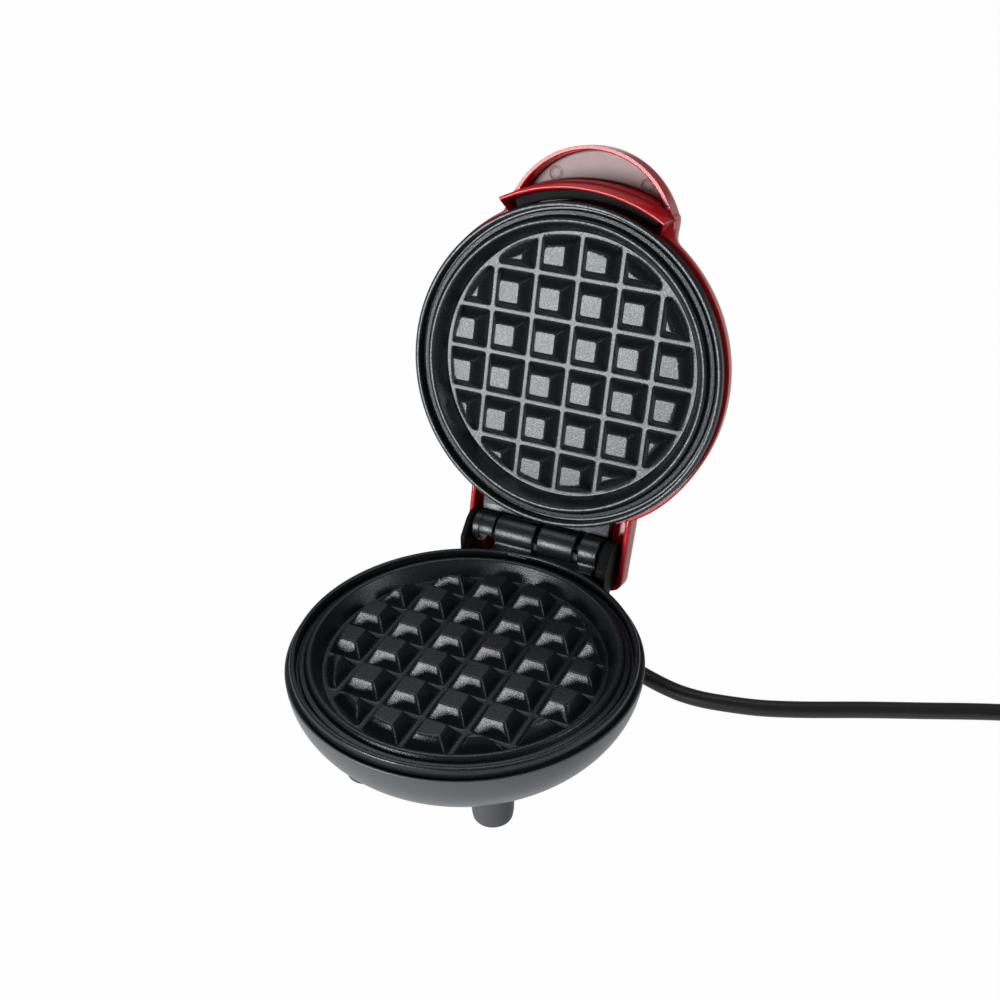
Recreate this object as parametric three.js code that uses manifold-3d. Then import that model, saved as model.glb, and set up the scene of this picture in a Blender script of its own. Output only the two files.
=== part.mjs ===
// Mini waffle maker with a hinged lid, shown with the lid open.
// Millimetres. +Z is up, +Y runs to the hinge at the back, +X is to the right seen from the front.
// Until the last lines, heights count from the cooking floor of the lower plate, at the plate's centre.

import * as THREE from 'three';
import { mergeVertices } from 'three/addons/utils/BufferGeometryUtils.js';
import Module from 'manifold-3d';

const wasm = await Module();
wasm.setup();
const { Manifold, Mesh: SolidMesh } = wasm;

// Common clearances
const seatGap = 0.3;
const runningGap = 0.7;
const overrun = 5;
const weld = 1e-4;
const roundSteps = 36;
const smallSteps = 8;
const cornerSteps = 4;
const quarter = Math.PI / 2;

// Waffle grid of both cooking plates
const gridPitch = 16;
const gridCount = 6;
const pyramidBase = 13.9;
const pyramidTop = 7.8;
const pyramidHeight = 5.36;
const pyramidCorner = 1.4;
const topCornerShare = 1 / 2;

// Rings of both cooking plates, from the rim inwards, with heights above the cooking floor
const rimOuter = 59.4;
const rimWidth = 1.9;
const rimHeight = 6.4;
const rimEdge = 0.6;
const rimUnderside = 2.9;
const rimInner = rimOuter - rimWidth;
const grooveWidth = 1.3;
const grooveHeight = 2.7;
const grooveInner = rimInner - grooveWidth;
const landWidth = 1.7;
const landHeight = 4.1;
const landInner = grooveInner - landWidth;
const beadSlope = 1;
const beadWidth = 1.6;
const beadHeight = 6.25;
const beadOuter = landInner - beadSlope;
const beadInner = beadOuter - beadWidth;
const wallRun = 2.9;
const floorRadius = beadInner - wallRun;
const gridMargin = 2;
const gridRadius = floorRadius - gridMargin;
const seatInset = 1.4;
const seatRadius = rimOuter - seatInset;
const seatHeight = 1.4;
const bellyInset = 2.6;
const bellyRadius = seatRadius - bellyInset;
const plateThickness = 3;
const plateBackMargin = 2;
const plateBackRadius = floorRadius + plateBackMargin;

// Plate bosses, heating element and heat shield, alike above and below
const elementTube = 3.2;
const elementRoom = 1;
const bossSpread = 16.2;
const bossRadius = 3.5;
const bossLength = seatGap + 2 * elementTube + elementRoom;
const screwRadius = 1.7;
const screwHeadRadius = 3.2;
const screwHeadHeight = 2;
const screwBite = 5;
const elementRadius = 36;
const elementGapAngle = 0.42;
const elementSteps = 30;
const elementSides = 8;
const shieldInset = 1;
const shieldRadius = plateBackRadius - shieldInset;
const shieldThickness = 0.8;
const shieldHoleRadius = 11;
const wireRadius = 1.1;
const wireSides = 6;
const wireSetBack = 0.08;
const shieldNotchRoom = 2.74;
const shieldNotchHalfWidth = elementRadius * Math.sin(elementGapAngle + wireSetBack) + shieldNotchRoom;
const shieldNotchFront = 27.5;

// Closed lid and hinge
const platesApart = 13.2;
const hingeSetBack = 6.88;
const hingeY = rimOuter + hingeSetBack;
const hingeZ = 9.11;
const openDegrees = 105.35;
const openAngle = openDegrees * Math.PI / 180;
const pinRadius = 2.1;
const barrelRadius = 5.9;
const lowerBarrelLeft = -17.8;
const lowerBarrelRight = -2.1;
const upperBarrelLeft = -0.4;
const upperBarrelRight = 14;
const lowerKnuckleLeft = 16;
const lowerKnuckleRight = 23.4;
const upperKnuckleLeft = -27.2;
const upperKnuckleRight = -18.5;
const upperLugRight = -24;
const lugCutBack = 2.6;
const flangeHeight = 1.6;
const flangeThickness = 3;
const upperFlangeRight = 24.4;
const lowerFlangeLeft = -23.4;
const lowerFlangeRight = 24.2;
const lowerLipHalfWidth = 22;
const upperFlangeSetIn = 3.7;
const lowerLipSetOut = 0.7;
const upperFlangeEdge = hingeY - upperFlangeSetIn;
const lowerLipEdge = hingeY + lowerLipSetOut;
const flangeRootInset = 14.4;
const flangeRootY = rimOuter - flangeRootInset;
const webInset = 7.4;
const webFront = rimOuter - webInset;
const webSetIn = 5.5;
const webEdge = hingeY - webSetIn;
const webDrop = 3.2;
const hoodThickness = 1.8;
const hoodSetOut = 2;
const hoodEdge = hingeY + hoodSetOut;
const hoodFace = hingeZ + barrelRadius + runningGap;

// Base housing
const bowlProud = 3.1;
const bowlRadius = seatRadius + bowlProud;
const bowlTop = 3;
const bowlDepth = 37;
const bowlPower = 2;
const bowlFloorRise = 4.4;
const bowlBottom = bowlTop - bowlDepth + bowlFloorRise;
const bowlWall = 2;
const bowlEdge = 3;
const bowlEdgeWall = 0.7;
const bowlRings = 8;
const ledgeWidth = 1;
const ledgeThickness = 2;
const blockHalfWidth = 21.5;
const blockSetOut = 4.72;
const blockBack = hingeY + blockSetOut;
const blockCorner = 7;
const blockTop = -1.75;
const shoulderHalfWidth = 30.8;
const shoulderSetIn = 3.78;
const shoulderBack = hingeY - shoulderSetIn;
const shoulderTop = -5;
const shoulderHeight = 10;
const blockFront = 30;
const blockWall = 2;
const housingBossRadius = 4.4;
const notchHalfWidth = 24.7;

// Hinge brackets beside the lower plate
const leftBracketOuter = -30;
const leftBracketInner = -27.9;
const rightBracketInner = 24.8;
const rightBracketOuter = 28.8;
const bracketRadius = 6;
const bracketFrontSetIn = 10;
const bracketBackSetIn = 4.28;
const bracketFront = hingeY - bracketFrontSetIn;
const bracketBack = hingeY - bracketBackSetIn;
const bracketFrontHeight = 8.4;

// Feet
const footDrop = 4.8;
const tableHeight = bowlBottom - footDrop;
const footRadius = 6.6;
const footTopRadius = 7.3;
const footTopShare = 1 / 2;
const frontFootX = 24.1;
const frontFootInset = 31.3;
const frontFootY = frontFootInset - bowlRadius;
const rearFootX = 13.4;
const rearFootInset = 9;
const rearFootY = blockBack - rearFootInset;
const footSpigotRadius = 2.6;
const footSpigotLength = 3.5;

// Lid shell
const domeProud = 1;
const domeRadius = rimOuter + domeProud;
const domeFoot = 13.2;
const domeEdge = 11.6;
const domeRoom = 11.6;
const upperStack = platesApart + plateThickness + bossLength + seatGap + shieldThickness;
const domeHeight = upperStack + domeRoom - domeFoot;
const domePower = 2.3;
const domeWall = 2.2;
const domeRings = 9;
const shellSeatWidth = 1.4;
const shellSeatInner = seatRadius - shellSeatWidth;
const shellSeatThickness = 1.7;
const shellSeatHeight = 12.1;
const lipProud = 5.6;
const lipRadius = rimOuter + lipProud;
const lipWall = 1.4;
const lipCrest = 6.8;
const lipAngle = 28.4 * Math.PI / 180;
const lipEndAngle = 28.9 * Math.PI / 180;
const slotRoof = 17;
const shellNotchLeft = -29.6;
const shellNotchRight = 29.6;
const shellNotchRoof = 15.6;
const shellNotchSetOut = 7.7;
const shellNotchBack = hingeY + shellNotchSetOut;

// Finger tab of the lid shell
const tabInset = 19.3;
const tabCentre = lipRadius - tabInset;
const tabRadius = 32.7;
const tabWall = 1.6;
const tabDrop = 7.4;
const tabDepth = 12;
const tabTop = domeFoot + domeHeight - tabDrop;
const tabCrest = tabTop - tabDepth;
const tabPower = 8;
const tabStartAngle = 27 * Math.PI / 180;
const tabBlendAngle = 36 * Math.PI / 180;
const flankEndAngle = 34.5 * Math.PI / 180;
const recessMargin = 1;
const recessArc = lipRadius + recessMargin;
const recessDepth = 2.8;
const recessFloor = tabTop - recessDepth;
const panelThickness = 1.2;
const panelFace = recessFloor - panelThickness;

// Tails of the lid shell, one on each side of the hinge
const tailOuter = 32.2;
const tailInner = 22.7;
const tailWall = 1.8;
const tailRootInset = 16.1;
const tailRoot = domeRadius - tailRootInset;
const tailSetOut = 14.02;
const tailEnd = hingeY + tailSetOut;
const tailCorner = 4.5;
const tailEdge = 10.7;
const tailHeadroom = 2.59;
const tailFall = 4.8;
const tailEndTop = hingeZ + barrelRadius + tailHeadroom;
const tailRootTop = tailEndTop + tailFall;
const tailInnerWallLength = 4.9;
const tailInnerWallStart = tailEnd - tailInnerWallLength;

// Inner parts of base and lid
const lidRingInset = 5.4;
const lidRingWidth = 3.6;
const lidRingInner = lipRadius - lidRingInset;
const lidRingOuter = lidRingInner + lidRingWidth;
const lidRingFace = 13.4;
const lidRingAngle = 26 * Math.PI / 180;
const thermostatRadius = 8;
const thermostatHeight = 6.5;
const fuseRadius = 2.2;
const fuseLength = 14;
const fuseX = 16;
const fuseY = -4;
const terminalLength = 20;
const terminalWidth = 10;
const terminalHeight = 8;
const terminalY = 40;
const lensRadius = 4;
const lensProud = 0.43;
const lensFlange = 5.2;
const lensFlangeHeight = 1;
const lensY = 18;
const neonRadius = 2.4;
const neonLength = 6;

// Mains cord
const cordRadius = 3;
const cordSides = 10;
const cordStepLength = 9;
const cordLift = 0.08;
const reliefRadius = 4.6;
const reliefTipRadius = 3.8;
const reliefLength = 20.5;
const reliefFlangeRadius = 5.5;
const reliefFlangeLength = 2;
const reliefProud = 0.2;
const reliefInset = 15.4;
const reliefX = blockHalfWidth + reliefProud;
const reliefY = blockBack - reliefInset;
const reliefRise = 5.6;
const reliefZ = bowlBottom + reliefRise;
const innerLeadShare = 0.7;
const reliefDirection = new THREE.Vector3(1, -0.19, -0.17).normalize();
const coilRadius = 37.6;
const coilStep = 6.8;
const coilTurns = 2.25;
const coilClimbTurns = 0.5;
const coilCentreX = 220;
const coilCentreY = 58;
const coilStepsPerTurn = 24;
const coilSides = 6;
const tieTurn = 0.75;
const tieLift = 1.2;
const tieThickness = 0.7;
const tieWidth = 6;
const tailDrop = 34;
const tailRise = 1;
const tailLength = 62;
const plugLength = 30;
const plugWidth = 24;
const plugHeight = 14;
const plugCorner = 5;
const plugGripShare = 0.6;
const bladeRootShare = 1 / 3;
const bladeLength = 16;
const bladeWidth = 6.3;
const bladeThickness = 1.5;
const bladeSpacing = 12.7;

// Route of the free cord on the table, from the strain relief to the coil, as x, y and rise above the table
const stretchPoints = [
  [56.4, 50.1, 0.9], [62.4, 49.8, 0.2], [70, 50, 0], [80, 51.6, 0], [90.7, 54.2, 0], [102, 58.4, 0],
  [113, 63.2, 0], [123.6, 68, 0], [135, 72.9, 0], [146.4, 77.7, 0], [158, 82.7, 0], [169.2, 87.2, 0],
  [180, 90.9, 0], [192, 93.8, 0], [202, 95.1, 0],
];

// Helpers: closed solids from three.js geometry, and back

function volumeOf(positions, triangles) {
  let total = 0;
  const corner = (n) => new THREE.Vector3().fromArray(positions, n * 3);
  for (let i = 0; i < triangles.length; i += 3) {
    const [a, b, c] = [corner(triangles[i]), corner(triangles[i + 1]), corner(triangles[i + 2])];
    total += a.dot(b.cross(c));
  }
  return total;
}

function solidOf(geometry) {
  const bare = geometry.clone();
  bare.deleteAttribute('normal');
  bare.deleteAttribute('uv');
  const merged = mergeVertices(bare, weld);
  const index = merged.index.array;
  const kept = [];
  for (let i = 0; i < index.length; i += 3) {
    const [a, b, c] = [index[i], index[i + 1], index[i + 2]];
    if (a !== b && b !== c && c !== a) kept.push(a, b, c);
  }
  const positions = new Float32Array(merged.attributes.position.array);
  if (volumeOf(positions, kept) < 0) kept.reverse();
  return new Manifold(new SolidMesh({ numProp: 3, vertProperties: positions, triVerts: new Uint32Array(kept) }));
}

function geometryOf(solid) {
  const mesh = solid.getMesh();
  const geometry = new THREE.BufferGeometry();
  geometry.setAttribute('position', new THREE.BufferAttribute(new Float32Array(mesh.vertProperties), 3));
  geometry.setIndex(new THREE.BufferAttribute(new Uint32Array(mesh.triVerts), 1));
  geometry.computeVertexNormals();
  return geometry;
}

function revolve(profile, steps = roundSteps) {
  const points = profile.map(([radius, height]) => new THREE.Vector2(radius, height));
  return solidOf(new THREE.LatheGeometry(points, steps).rotateX(quarter));
}

function outline(points) {
  return new THREE.Shape(points.map(([x, y]) => new THREE.Vector2(x, y)));
}

// A plan outline raised from one height to another
function raised(shape, low, high, steps = smallSteps) {
  const settings = { depth: high - low, bevelEnabled: false, curveSegments: steps };
  return solidOf(new THREE.ExtrudeGeometry(shape, settings).translate(0, 0, low));
}

// A side outline in Y and Z, carried along X from left to right
function carried(points, left, right) {
  const geometry = new THREE.ExtrudeGeometry(outline(points), { depth: right - left, bevelEnabled: false });
  const turn = new THREE.Matrix4().makeBasis(
    new THREE.Vector3(0, 1, 0), new THREE.Vector3(0, 0, 1), new THREE.Vector3(1, 0, 0));
  return solidOf(geometry.applyMatrix4(turn).translate(left, 0, 0));
}

function box(left, right, front, back, low, high) {
  const geometry = new THREE.BoxGeometry(right - left, back - front, high - low);
  return solidOf(geometry.translate((left + right) / 2, (front + back) / 2, (low + high) / 2));
}

function upright(radius, x, y, low, high, steps = smallSteps, topRadius = radius) {
  const geometry = new THREE.CylinderGeometry(topRadius, radius, high - low, steps);
  return solidOf(geometry.rotateX(quarter).translate(x, y, (low + high) / 2));
}

// A round bar on the hinge axis from left to right
function axle(radius, left, right, steps = 2 * smallSteps) {
  const geometry = new THREE.CylinderGeometry(radius, radius, right - left, steps);
  return solidOf(geometry.rotateZ(quarter).translate((left + right) / 2, hingeY, hingeZ));
}

// A solid of revolution whose profile runs along a direction from a start point
function turned(profile, start, direction, steps = 2 * smallSteps) {
  const points = profile.map(([radius, along]) => new THREE.Vector2(radius, along));
  const turn = new THREE.Quaternion().setFromUnitVectors(new THREE.Vector3(0, 1, 0), direction);
  const geometry = new THREE.LatheGeometry(points, steps).applyQuaternion(turn);
  return solidOf(geometry.translate(start.x, start.y, start.z));
}

// A round tube along a smooth curve through the points
function tube(points, radius, steps, sides) {
  const curve = new THREE.CatmullRomCurve3(points, false, 'centripetal');
  const section = new THREE.Shape();
  for (let i = 0; i < sides; i += 1) {
    const angle = 2 * Math.PI * (i + 0.5) / sides;
    const [x, y] = [radius * Math.cos(angle), radius * Math.sin(angle)];
    if (i === 0) section.moveTo(x, y);
    else section.lineTo(x, y);
  }
  section.closePath();
  return solidOf(new THREE.ExtrudeGeometry(section, { steps, bevelEnabled: false, extrudePath: curve }));
}

// A round tube through level points, with its sections square to the path
function wound(points, radius, sides) {
  const up = new THREE.Vector3(0, 0, 1);
  const positions = [];
  const triangles = [];
  points.forEach((point, i) => {
    const before = points[Math.max(i - 1, 0)];
    const after = points[Math.min(i + 1, points.length - 1)];
    const along = after.clone().sub(before).normalize();
    const side = along.clone().cross(up).normalize();
    const rise = side.clone().cross(along);
    for (let k = 0; k < sides; k += 1) {
      const angle = 2 * Math.PI * (k + 0.5) / sides;
      const spot = point.clone().addScaledVector(side, radius * Math.cos(angle));
      positions.push(...spot.addScaledVector(rise, radius * Math.sin(angle)).toArray());
    }
  });
  const ring = (i, k) => i * sides + k % sides;
  for (let i = 0; i < points.length - 1; i += 1) {
    for (let k = 0; k < sides; k += 1) {
      triangles.push(ring(i, k), ring(i, k + 1), ring(i + 1, k + 1));
      triangles.push(ring(i, k), ring(i + 1, k + 1), ring(i + 1, k));
    }
  }
  const last = points.length - 1;
  for (let k = 1; k < sides - 1; k += 1) {
    triangles.push(ring(0, 0), ring(0, k + 1), ring(0, k));
    triangles.push(ring(last, 0), ring(last, k), ring(last, k + 1));
  }
  const geometry = new THREE.BufferGeometry();
  geometry.setAttribute('position', new THREE.Float32BufferAttribute(positions, 3));
  geometry.setIndex(triangles);
  return solidOf(geometry);
}

// Materials
const coating = { color: 0x18191b, roughness: 0.42, metalness: 0.2 };
const redGloss = { color: 0xc8282d, roughness: 0.15, metalness: 0 };
const greySatin = { color: 0xa9adb0, roughness: 0.4, metalness: 0.1 };
const greyRubber = { color: 0x5f6266, roughness: 0.8, metalness: 0 };
const blackPlastic = { color: 0x1c1c1e, roughness: 0.55, metalness: 0 };
const palePanel = { color: 0xd2bebe, roughness: 0.45, metalness: 0 };
const steel = { color: 0xb8babc, roughness: 0.3, metalness: 0.9 };
const darkSteel = { color: 0x4c4e50, roughness: 0.45, metalness: 0.8 };
const aluminium = { color: 0xc4c6c8, roughness: 0.5, metalness: 0.8 };
const brass = { color: 0xc9a24c, roughness: 0.3, metalness: 0.9 };
const blackCord = { color: 0x141416, roughness: 0.6, metalness: 0 };
const ceramic = { color: 0xe6e1d6, roughness: 0.7, metalness: 0 };
const amber = { color: 0xe08a2c, roughness: 0.1, metalness: 0 };

function add(group, name, solid, finish) {
  const mesh = new THREE.Mesh(geometryOf(solid), new THREE.MeshStandardMaterial(finish));
  mesh.name = name;
  group.add(mesh);
  return mesh;
}

// Cooking plates

// How far a pyramid's wall runs in for each millimetre that it rises
const pyramidSlope = (pyramidBase - pyramidTop) / 2 / pyramidHeight;

// One pyramid with its top and bottom outlines as squares with cut corners
function pyramid(x, y) {
  const positions = [];
  const sizes = [[pyramidBase + pyramidSlope * plateThickness, pyramidCorner, -plateThickness / 2],
    [pyramidTop, pyramidCorner * topCornerShare, pyramidHeight]];
  for (const [size, cut, height] of sizes) {
    const half = size / 2;
    const near = half - cut;
    const corners = [[half, -near], [half, near], [near, half], [-near, half],
      [-half, near], [-half, -near], [-near, -half], [near, -half]];
    for (const [cx, cy] of corners) positions.push(x + cx, y + cy, height);
  }
  const sides = 8;
  const triangles = [];
  for (let k = 0; k < sides; k += 1) {
    const next = (k + 1) % sides;
    triangles.push(k, next, sides + next, k, sides + next, sides + k);
  }
  for (let k = 1; k < sides - 1; k += 1) {
    triangles.push(0, k + 1, k, sides, sides + k, sides + k + 1);
  }
  const geometry = new THREE.BufferGeometry();
  geometry.setAttribute('position', new THREE.Float32BufferAttribute(positions, 3));
  geometry.setIndex(triangles);
  return solidOf(geometry);
}

function pyramids() {
  const field = [];
  const middle = (gridCount - 1) / 2;
  for (let row = 0; row < gridCount; row += 1) {
    for (let column = 0; column < gridCount; column += 1) {
      const [x, y] = [(column - middle) * gridPitch, (row - middle) * gridPitch];
      if (Math.hypot(x, y) < gridRadius + pyramidTop / 2) field.push(pyramid(x, y));
    }
  }
  const [low, high] = [-plateThickness, rimHeight];
  return Manifold.union(field).intersect(
    upright(gridRadius - low * pyramidSlope, 0, 0, low, high, roundSteps, gridRadius - high * pyramidSlope));
}

const bossPlaces = [[-1, -1], [1, -1], [-1, 1], [1, 1]].map(([x, y]) => [x * bossSpread, y * bossSpread]);
const bossEnd = -plateThickness - bossLength;

// The round casting, with its cooking face up and its floor at height zero
function plateCasting() {
  const disc = revolve([
    [0, -plateThickness], [plateBackRadius, -plateThickness], [bellyRadius, seatHeight], [seatRadius, seatHeight],
    [seatRadius, rimUnderside], [rimOuter, rimUnderside], [rimOuter, rimHeight - rimEdge],
    [rimOuter - rimEdge, rimHeight], [rimInner, rimHeight], [rimInner, grooveHeight], [grooveInner, grooveHeight],
    [grooveInner, landHeight], [landInner, landHeight], [beadOuter, beadHeight], [beadInner, beadHeight],
    [floorRadius, 0], [0, 0],
  ]);
  let casting = disc.add(pyramids());
  for (const [x, y] of bossPlaces) {
    casting = casting.add(upright(bossRadius, x, y, bossEnd, -plateThickness / 2));
    casting = casting.subtract(upright(screwRadius + seatGap, x, y, bossEnd - overrun, bossEnd + screwBite + seatGap));
  }
  return casting;
}

const boreRadius = pinRadius + seatGap;
const hingeSpan = [leftBracketOuter - overrun, rightBracketOuter + overrun];
const bore = axle(boreRadius, ...hingeSpan);

// Room to turn for the other casting's barrel between left and right
function turningRoom(left, right) {
  return axle(barrelRadius + runningGap, left - runningGap, right + runningGap);
}

function lowerPlate() {
  const under = flangeHeight - flangeThickness;
  const web = [[webFront, under], [hingeY - webDrop, under], [hingeY + barrelRadius - seatGap, hingeZ - webDrop],
    [hingeY, hingeZ], [webEdge, hingeZ - flangeHeight], [webEdge, rimHeight - seatGap],
    [webFront, rimHeight - seatGap]];
  const cookingSide = upright(landInner, 0, 0, 0, rimHeight + overrun, roundSteps);
  let hinge = box(lowerFlangeLeft, lowerFlangeRight, flangeRootY, webEdge, under, flangeHeight)
    .add(box(-lowerLipHalfWidth, lowerLipHalfWidth, flangeRootY, lowerLipEdge, under, flangeHeight));
  for (const [left, right] of [[lowerBarrelLeft, lowerBarrelRight], [lowerKnuckleLeft, lowerKnuckleRight]]) {
    hinge = hinge.add(carried(web, left, right)).add(axle(barrelRadius, left, right));
  }
  return plateCasting().add(hinge.subtract(cookingSide)).subtract(bore)
    .subtract(turningRoom(upperBarrelLeft, upperBarrelRight))
    .subtract(turningRoom(upperKnuckleLeft, upperKnuckleRight));
}

// The open side of the upper left knuckle: what lies before and below the pin while the lid is open
function lugCut() {
  const reach = barrelRadius + overrun;
  return box(upperLugRight, upperKnuckleRight + overrun, hingeY - reach, hingeY + lugCutBack, hingeZ - reach, hingeZ)
    .translate([0, -hingeY, -hingeZ]).rotate([openDegrees, 0, 0]).translate([0, hingeY, hingeZ]);
}

// The upper casting is the same one turned over, so its heights count down from the upper floor
function upperPlate() {
  const face = platesApart - flangeHeight;
  const [back, roof] = [face + flangeThickness, hoodFace + hoodThickness];
  const web = [[webFront, back], [hingeY, hingeZ + barrelRadius - seatGap], [hingeY, hingeZ],
    [webEdge, hingeZ + seatGap], [webEdge, face], [webFront, face]];
  const hood = [[webFront, face], [upperFlangeEdge, face], [upperFlangeEdge, hoodFace], [hoodEdge, hoodFace],
    [hoodEdge, roof], [webFront, roof]];
  const flange = box(upperKnuckleLeft, upperFlangeRight, flangeRootY, webFront + overrun, face, back)
    .add(carried(hood, upperKnuckleLeft, upperFlangeRight));
  const cookingSide = upright(landInner, 0, 0, -overrun, platesApart, roundSteps);
  const knuckle = carried(web, upperKnuckleLeft, upperKnuckleRight)
    .add(axle(barrelRadius, upperKnuckleLeft, upperKnuckleRight)).subtract(lugCut());
  const hinge = flange.add(knuckle).add(carried(web, upperBarrelLeft, upperBarrelRight))
    .add(axle(barrelRadius, upperBarrelLeft, upperBarrelRight));
  const disc = plateCasting().rotate([180, 0, 0]).translate([0, 0, platesApart]);
  return disc.add(hinge.subtract(cookingSide)).subtract(bore)
    .subtract(turningRoom(lowerBarrelLeft, lowerBarrelRight))
    .subtract(turningRoom(lowerKnuckleLeft, lowerKnuckleRight));
}

// Heating element: a ring open at the back, whose two ends turn away from the plate
function heatingElement() {
  const height = -plateThickness - seatGap - elementTube;
  const points = [];
  for (let i = 0; i <= elementSteps; i += 1) {
    const angle = quarter + elementGapAngle + (2 * Math.PI - 2 * elementGapAngle) * i / elementSteps;
    points.push(new THREE.Vector3(elementRadius * Math.cos(angle), elementRadius * Math.sin(angle), height));
  }
  return wound(points, elementTube, elementSides);
}

const shieldTop = bossEnd - seatGap;
const shieldBottom = shieldTop - shieldThickness;
const elementBottom = -plateThickness - seatGap - 2 * elementTube;

function heatShield() {
  let shield = upright(shieldRadius, 0, 0, shieldBottom, shieldTop, roundSteps);
  shield = shield.subtract(upright(shieldHoleRadius, 0, 0, shieldBottom - overrun, shieldTop + overrun));
  for (const [x, y] of bossPlaces) {
    shield = shield.subtract(
      upright(screwRadius + seatGap, x, y, shieldBottom - overrun, shieldTop + overrun));
  }
  return shield.subtract(box(-shieldNotchHalfWidth, shieldNotchHalfWidth, shieldNotchFront, shieldRadius + overrun,
    shieldBottom - overrun, shieldTop + overrun));
}

// Base housing

function bowlRadiusAt(height) {
  const depthShare = Math.max(0, (bowlTop - height) / bowlDepth);
  return bowlRadius * (1 - depthShare ** bowlPower) ** (1 / bowlPower);
}

function bowlProfile(inset, bottom, top) {
  const points = [[0, bottom]];
  for (let i = 0; i <= bowlRings; i += 1) {
    const height = bottom + (top - bottom) * Math.sin(quarter * i / bowlRings);
    points.push([bowlRadiusAt(height) - inset, height]);
  }
  points.push([0, top]);
  return points;
}

const housingFloor = bowlBottom + bowlWall;
const lowerSeat = seatHeight - seatGap;

function rearBlock(inset, bottom, top, halfWidth, back) {
  const [side, end, corner] = [halfWidth - inset, back - inset, blockCorner - inset];
  const shape = new THREE.Shape();
  shape.moveTo(-side, blockFront);
  shape.lineTo(side, blockFront);
  shape.lineTo(side, end - corner);
  shape.absarc(side - corner, end - corner, corner, 0, quarter, false);
  shape.lineTo(-side + corner, end);
  shape.absarc(-side + corner, end - corner, corner, quarter, Math.PI, false);
  return raised(shape, bottom, top, cornerSteps);
}

const feet = [
  ['foot_front_left', -frontFootX, frontFootY], ['foot_front_right', frontFootX, frontFootY],
  ['foot_rear_left', -rearFootX, rearFootY], ['foot_rear_right', rearFootX, rearFootY],
];

const reliefStart = new THREE.Vector3(reliefX, reliefY, reliefZ);
const inletRadius = reliefRadius - seatGap;

function bowlOutside(extra) {
  const grown = bowlProfile(0, bowlBottom, bowlEdge).map(
    ([radius, height]) => [radius > 0 ? radius + extra : 0, height > bowlBottom ? height : height - extra]);
  return revolve(grown);
}

function housingOutside() {
  return bowlOutside(0)
    .add(rearBlock(0, bowlBottom, blockTop, blockHalfWidth, blockBack))
    .add(rearBlock(0, shoulderTop - shoulderHeight, shoulderTop, shoulderHalfWidth, shoulderBack));
}

function baseHousing() {
  const ledge = upright(bowlRadius, 0, 0, lowerSeat - ledgeThickness, lowerSeat, roundSteps).subtract(
    upright(seatRadius - ledgeWidth, 0, 0, lowerSeat - ledgeThickness - overrun, lowerSeat + overrun, roundSteps));
  const inside = revolve(bowlProfile(bowlWall, housingFloor, lowerSeat)).subtract(ledge)
    .add(rearBlock(blockWall, housingFloor, blockTop - blockWall, blockHalfWidth, blockBack))
    .add(rearBlock(blockWall, shoulderTop - shoulderHeight + blockWall, shoulderTop - blockWall,
      shoulderHalfWidth, shoulderBack));
  const mouth = upright(bowlRadius - bowlEdgeWall, 0, 0, lowerSeat, bowlEdge + overrun, roundSteps);
  const notchLow = flangeHeight - flangeThickness - seatGap;
  const notch = box(-notchHalfWidth, notchHalfWidth, flangeRootY - overrun, blockBack + overrun,
    notchLow, bowlEdge + overrun);
  let housing = housingOutside().subtract(inside).subtract(mouth).subtract(notch);
  for (const [x, y] of bossPlaces) {
    const bossTop = shieldBottom - seatGap;
    const headRoof = bowlBottom + screwHeadHeight + 2 * seatGap;
    housing = housing.add(upright(housingBossRadius, x, y, housingFloor - bowlWall / 2, bossTop));
    housing = housing.subtract(upright(screwRadius + seatGap, x, y, bowlBottom - overrun, bossTop + overrun));
    housing = housing.subtract(upright(screwHeadRadius + seatGap, x, y, bowlBottom - overrun, headRoof));
  }
  for (const [, x, y] of feet) {
    const root = footRoot(x, y);
    housing = housing.add(upright(footSpigotRadius, x, y, root - footSpigotLength, root + bowlWall));
  }
  const inlet = turned([[0, -reliefLength], [inletRadius, -reliefLength], [inletRadius, reliefLength],
    [0, reliefLength]], reliefStart, reliefDirection);
  return housing.subtract(inlet);
}

// Height of the housing's underside at a foot's centre
function footRoot(x, y) {
  if (y > 0) return bowlBottom;
  const radius = Math.hypot(x, y);
  return bowlTop - bowlDepth * (1 - (radius / bowlRadius) ** bowlPower) ** (1 / bowlPower);
}

function foot(x, y) {
  const top = y > 0 ? bowlBottom - seatGap : footRoot(x, y) + footTopRadius * footTopShare;
  const body = upright(footRadius, x, y, tableHeight, top, 2 * smallSteps, footTopRadius);
  const socketLow = footRoot(x, y) - footSpigotLength - seatGap;
  const socket = upright(footSpigotRadius + seatGap, x, y, socketLow, top + overrun);
  return body.subtract(bowlOutside(2 * seatGap)).subtract(socket);
}

function hingeBracket(left, right) {
  const low = shoulderTop + seatGap;
  const arm = [[bracketFront, low], [bracketBack, low], [hingeY + bracketRadius, hingeZ - webDrop],
    [hingeY, hingeZ + bracketRadius], [hingeY - webDrop, hingeZ + bracketRadius], [bracketFront, bracketFrontHeight]];
  return carried(arm, left, right).add(axle(bracketRadius, left, right))
    .subtract(axle(boreRadius, ...hingeSpan));
}

// Lid shell, drawn closed, with its tab to the front

// Radius of the tab's edge in plan: its own circle, then two flanks that run down to the dome
function tabOutline(angle) {
  const turn = Math.min(Math.abs(angle), tabStartAngle);
  const circle = tabCentre * Math.cos(turn) + Math.sqrt(tabRadius ** 2 - (tabCentre * Math.sin(turn)) ** 2);
  return THREE.MathUtils.lerp(circle, domeRadius,
    THREE.MathUtils.smoothstep(Math.abs(angle), tabStartAngle, flankEndAngle));
}

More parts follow.
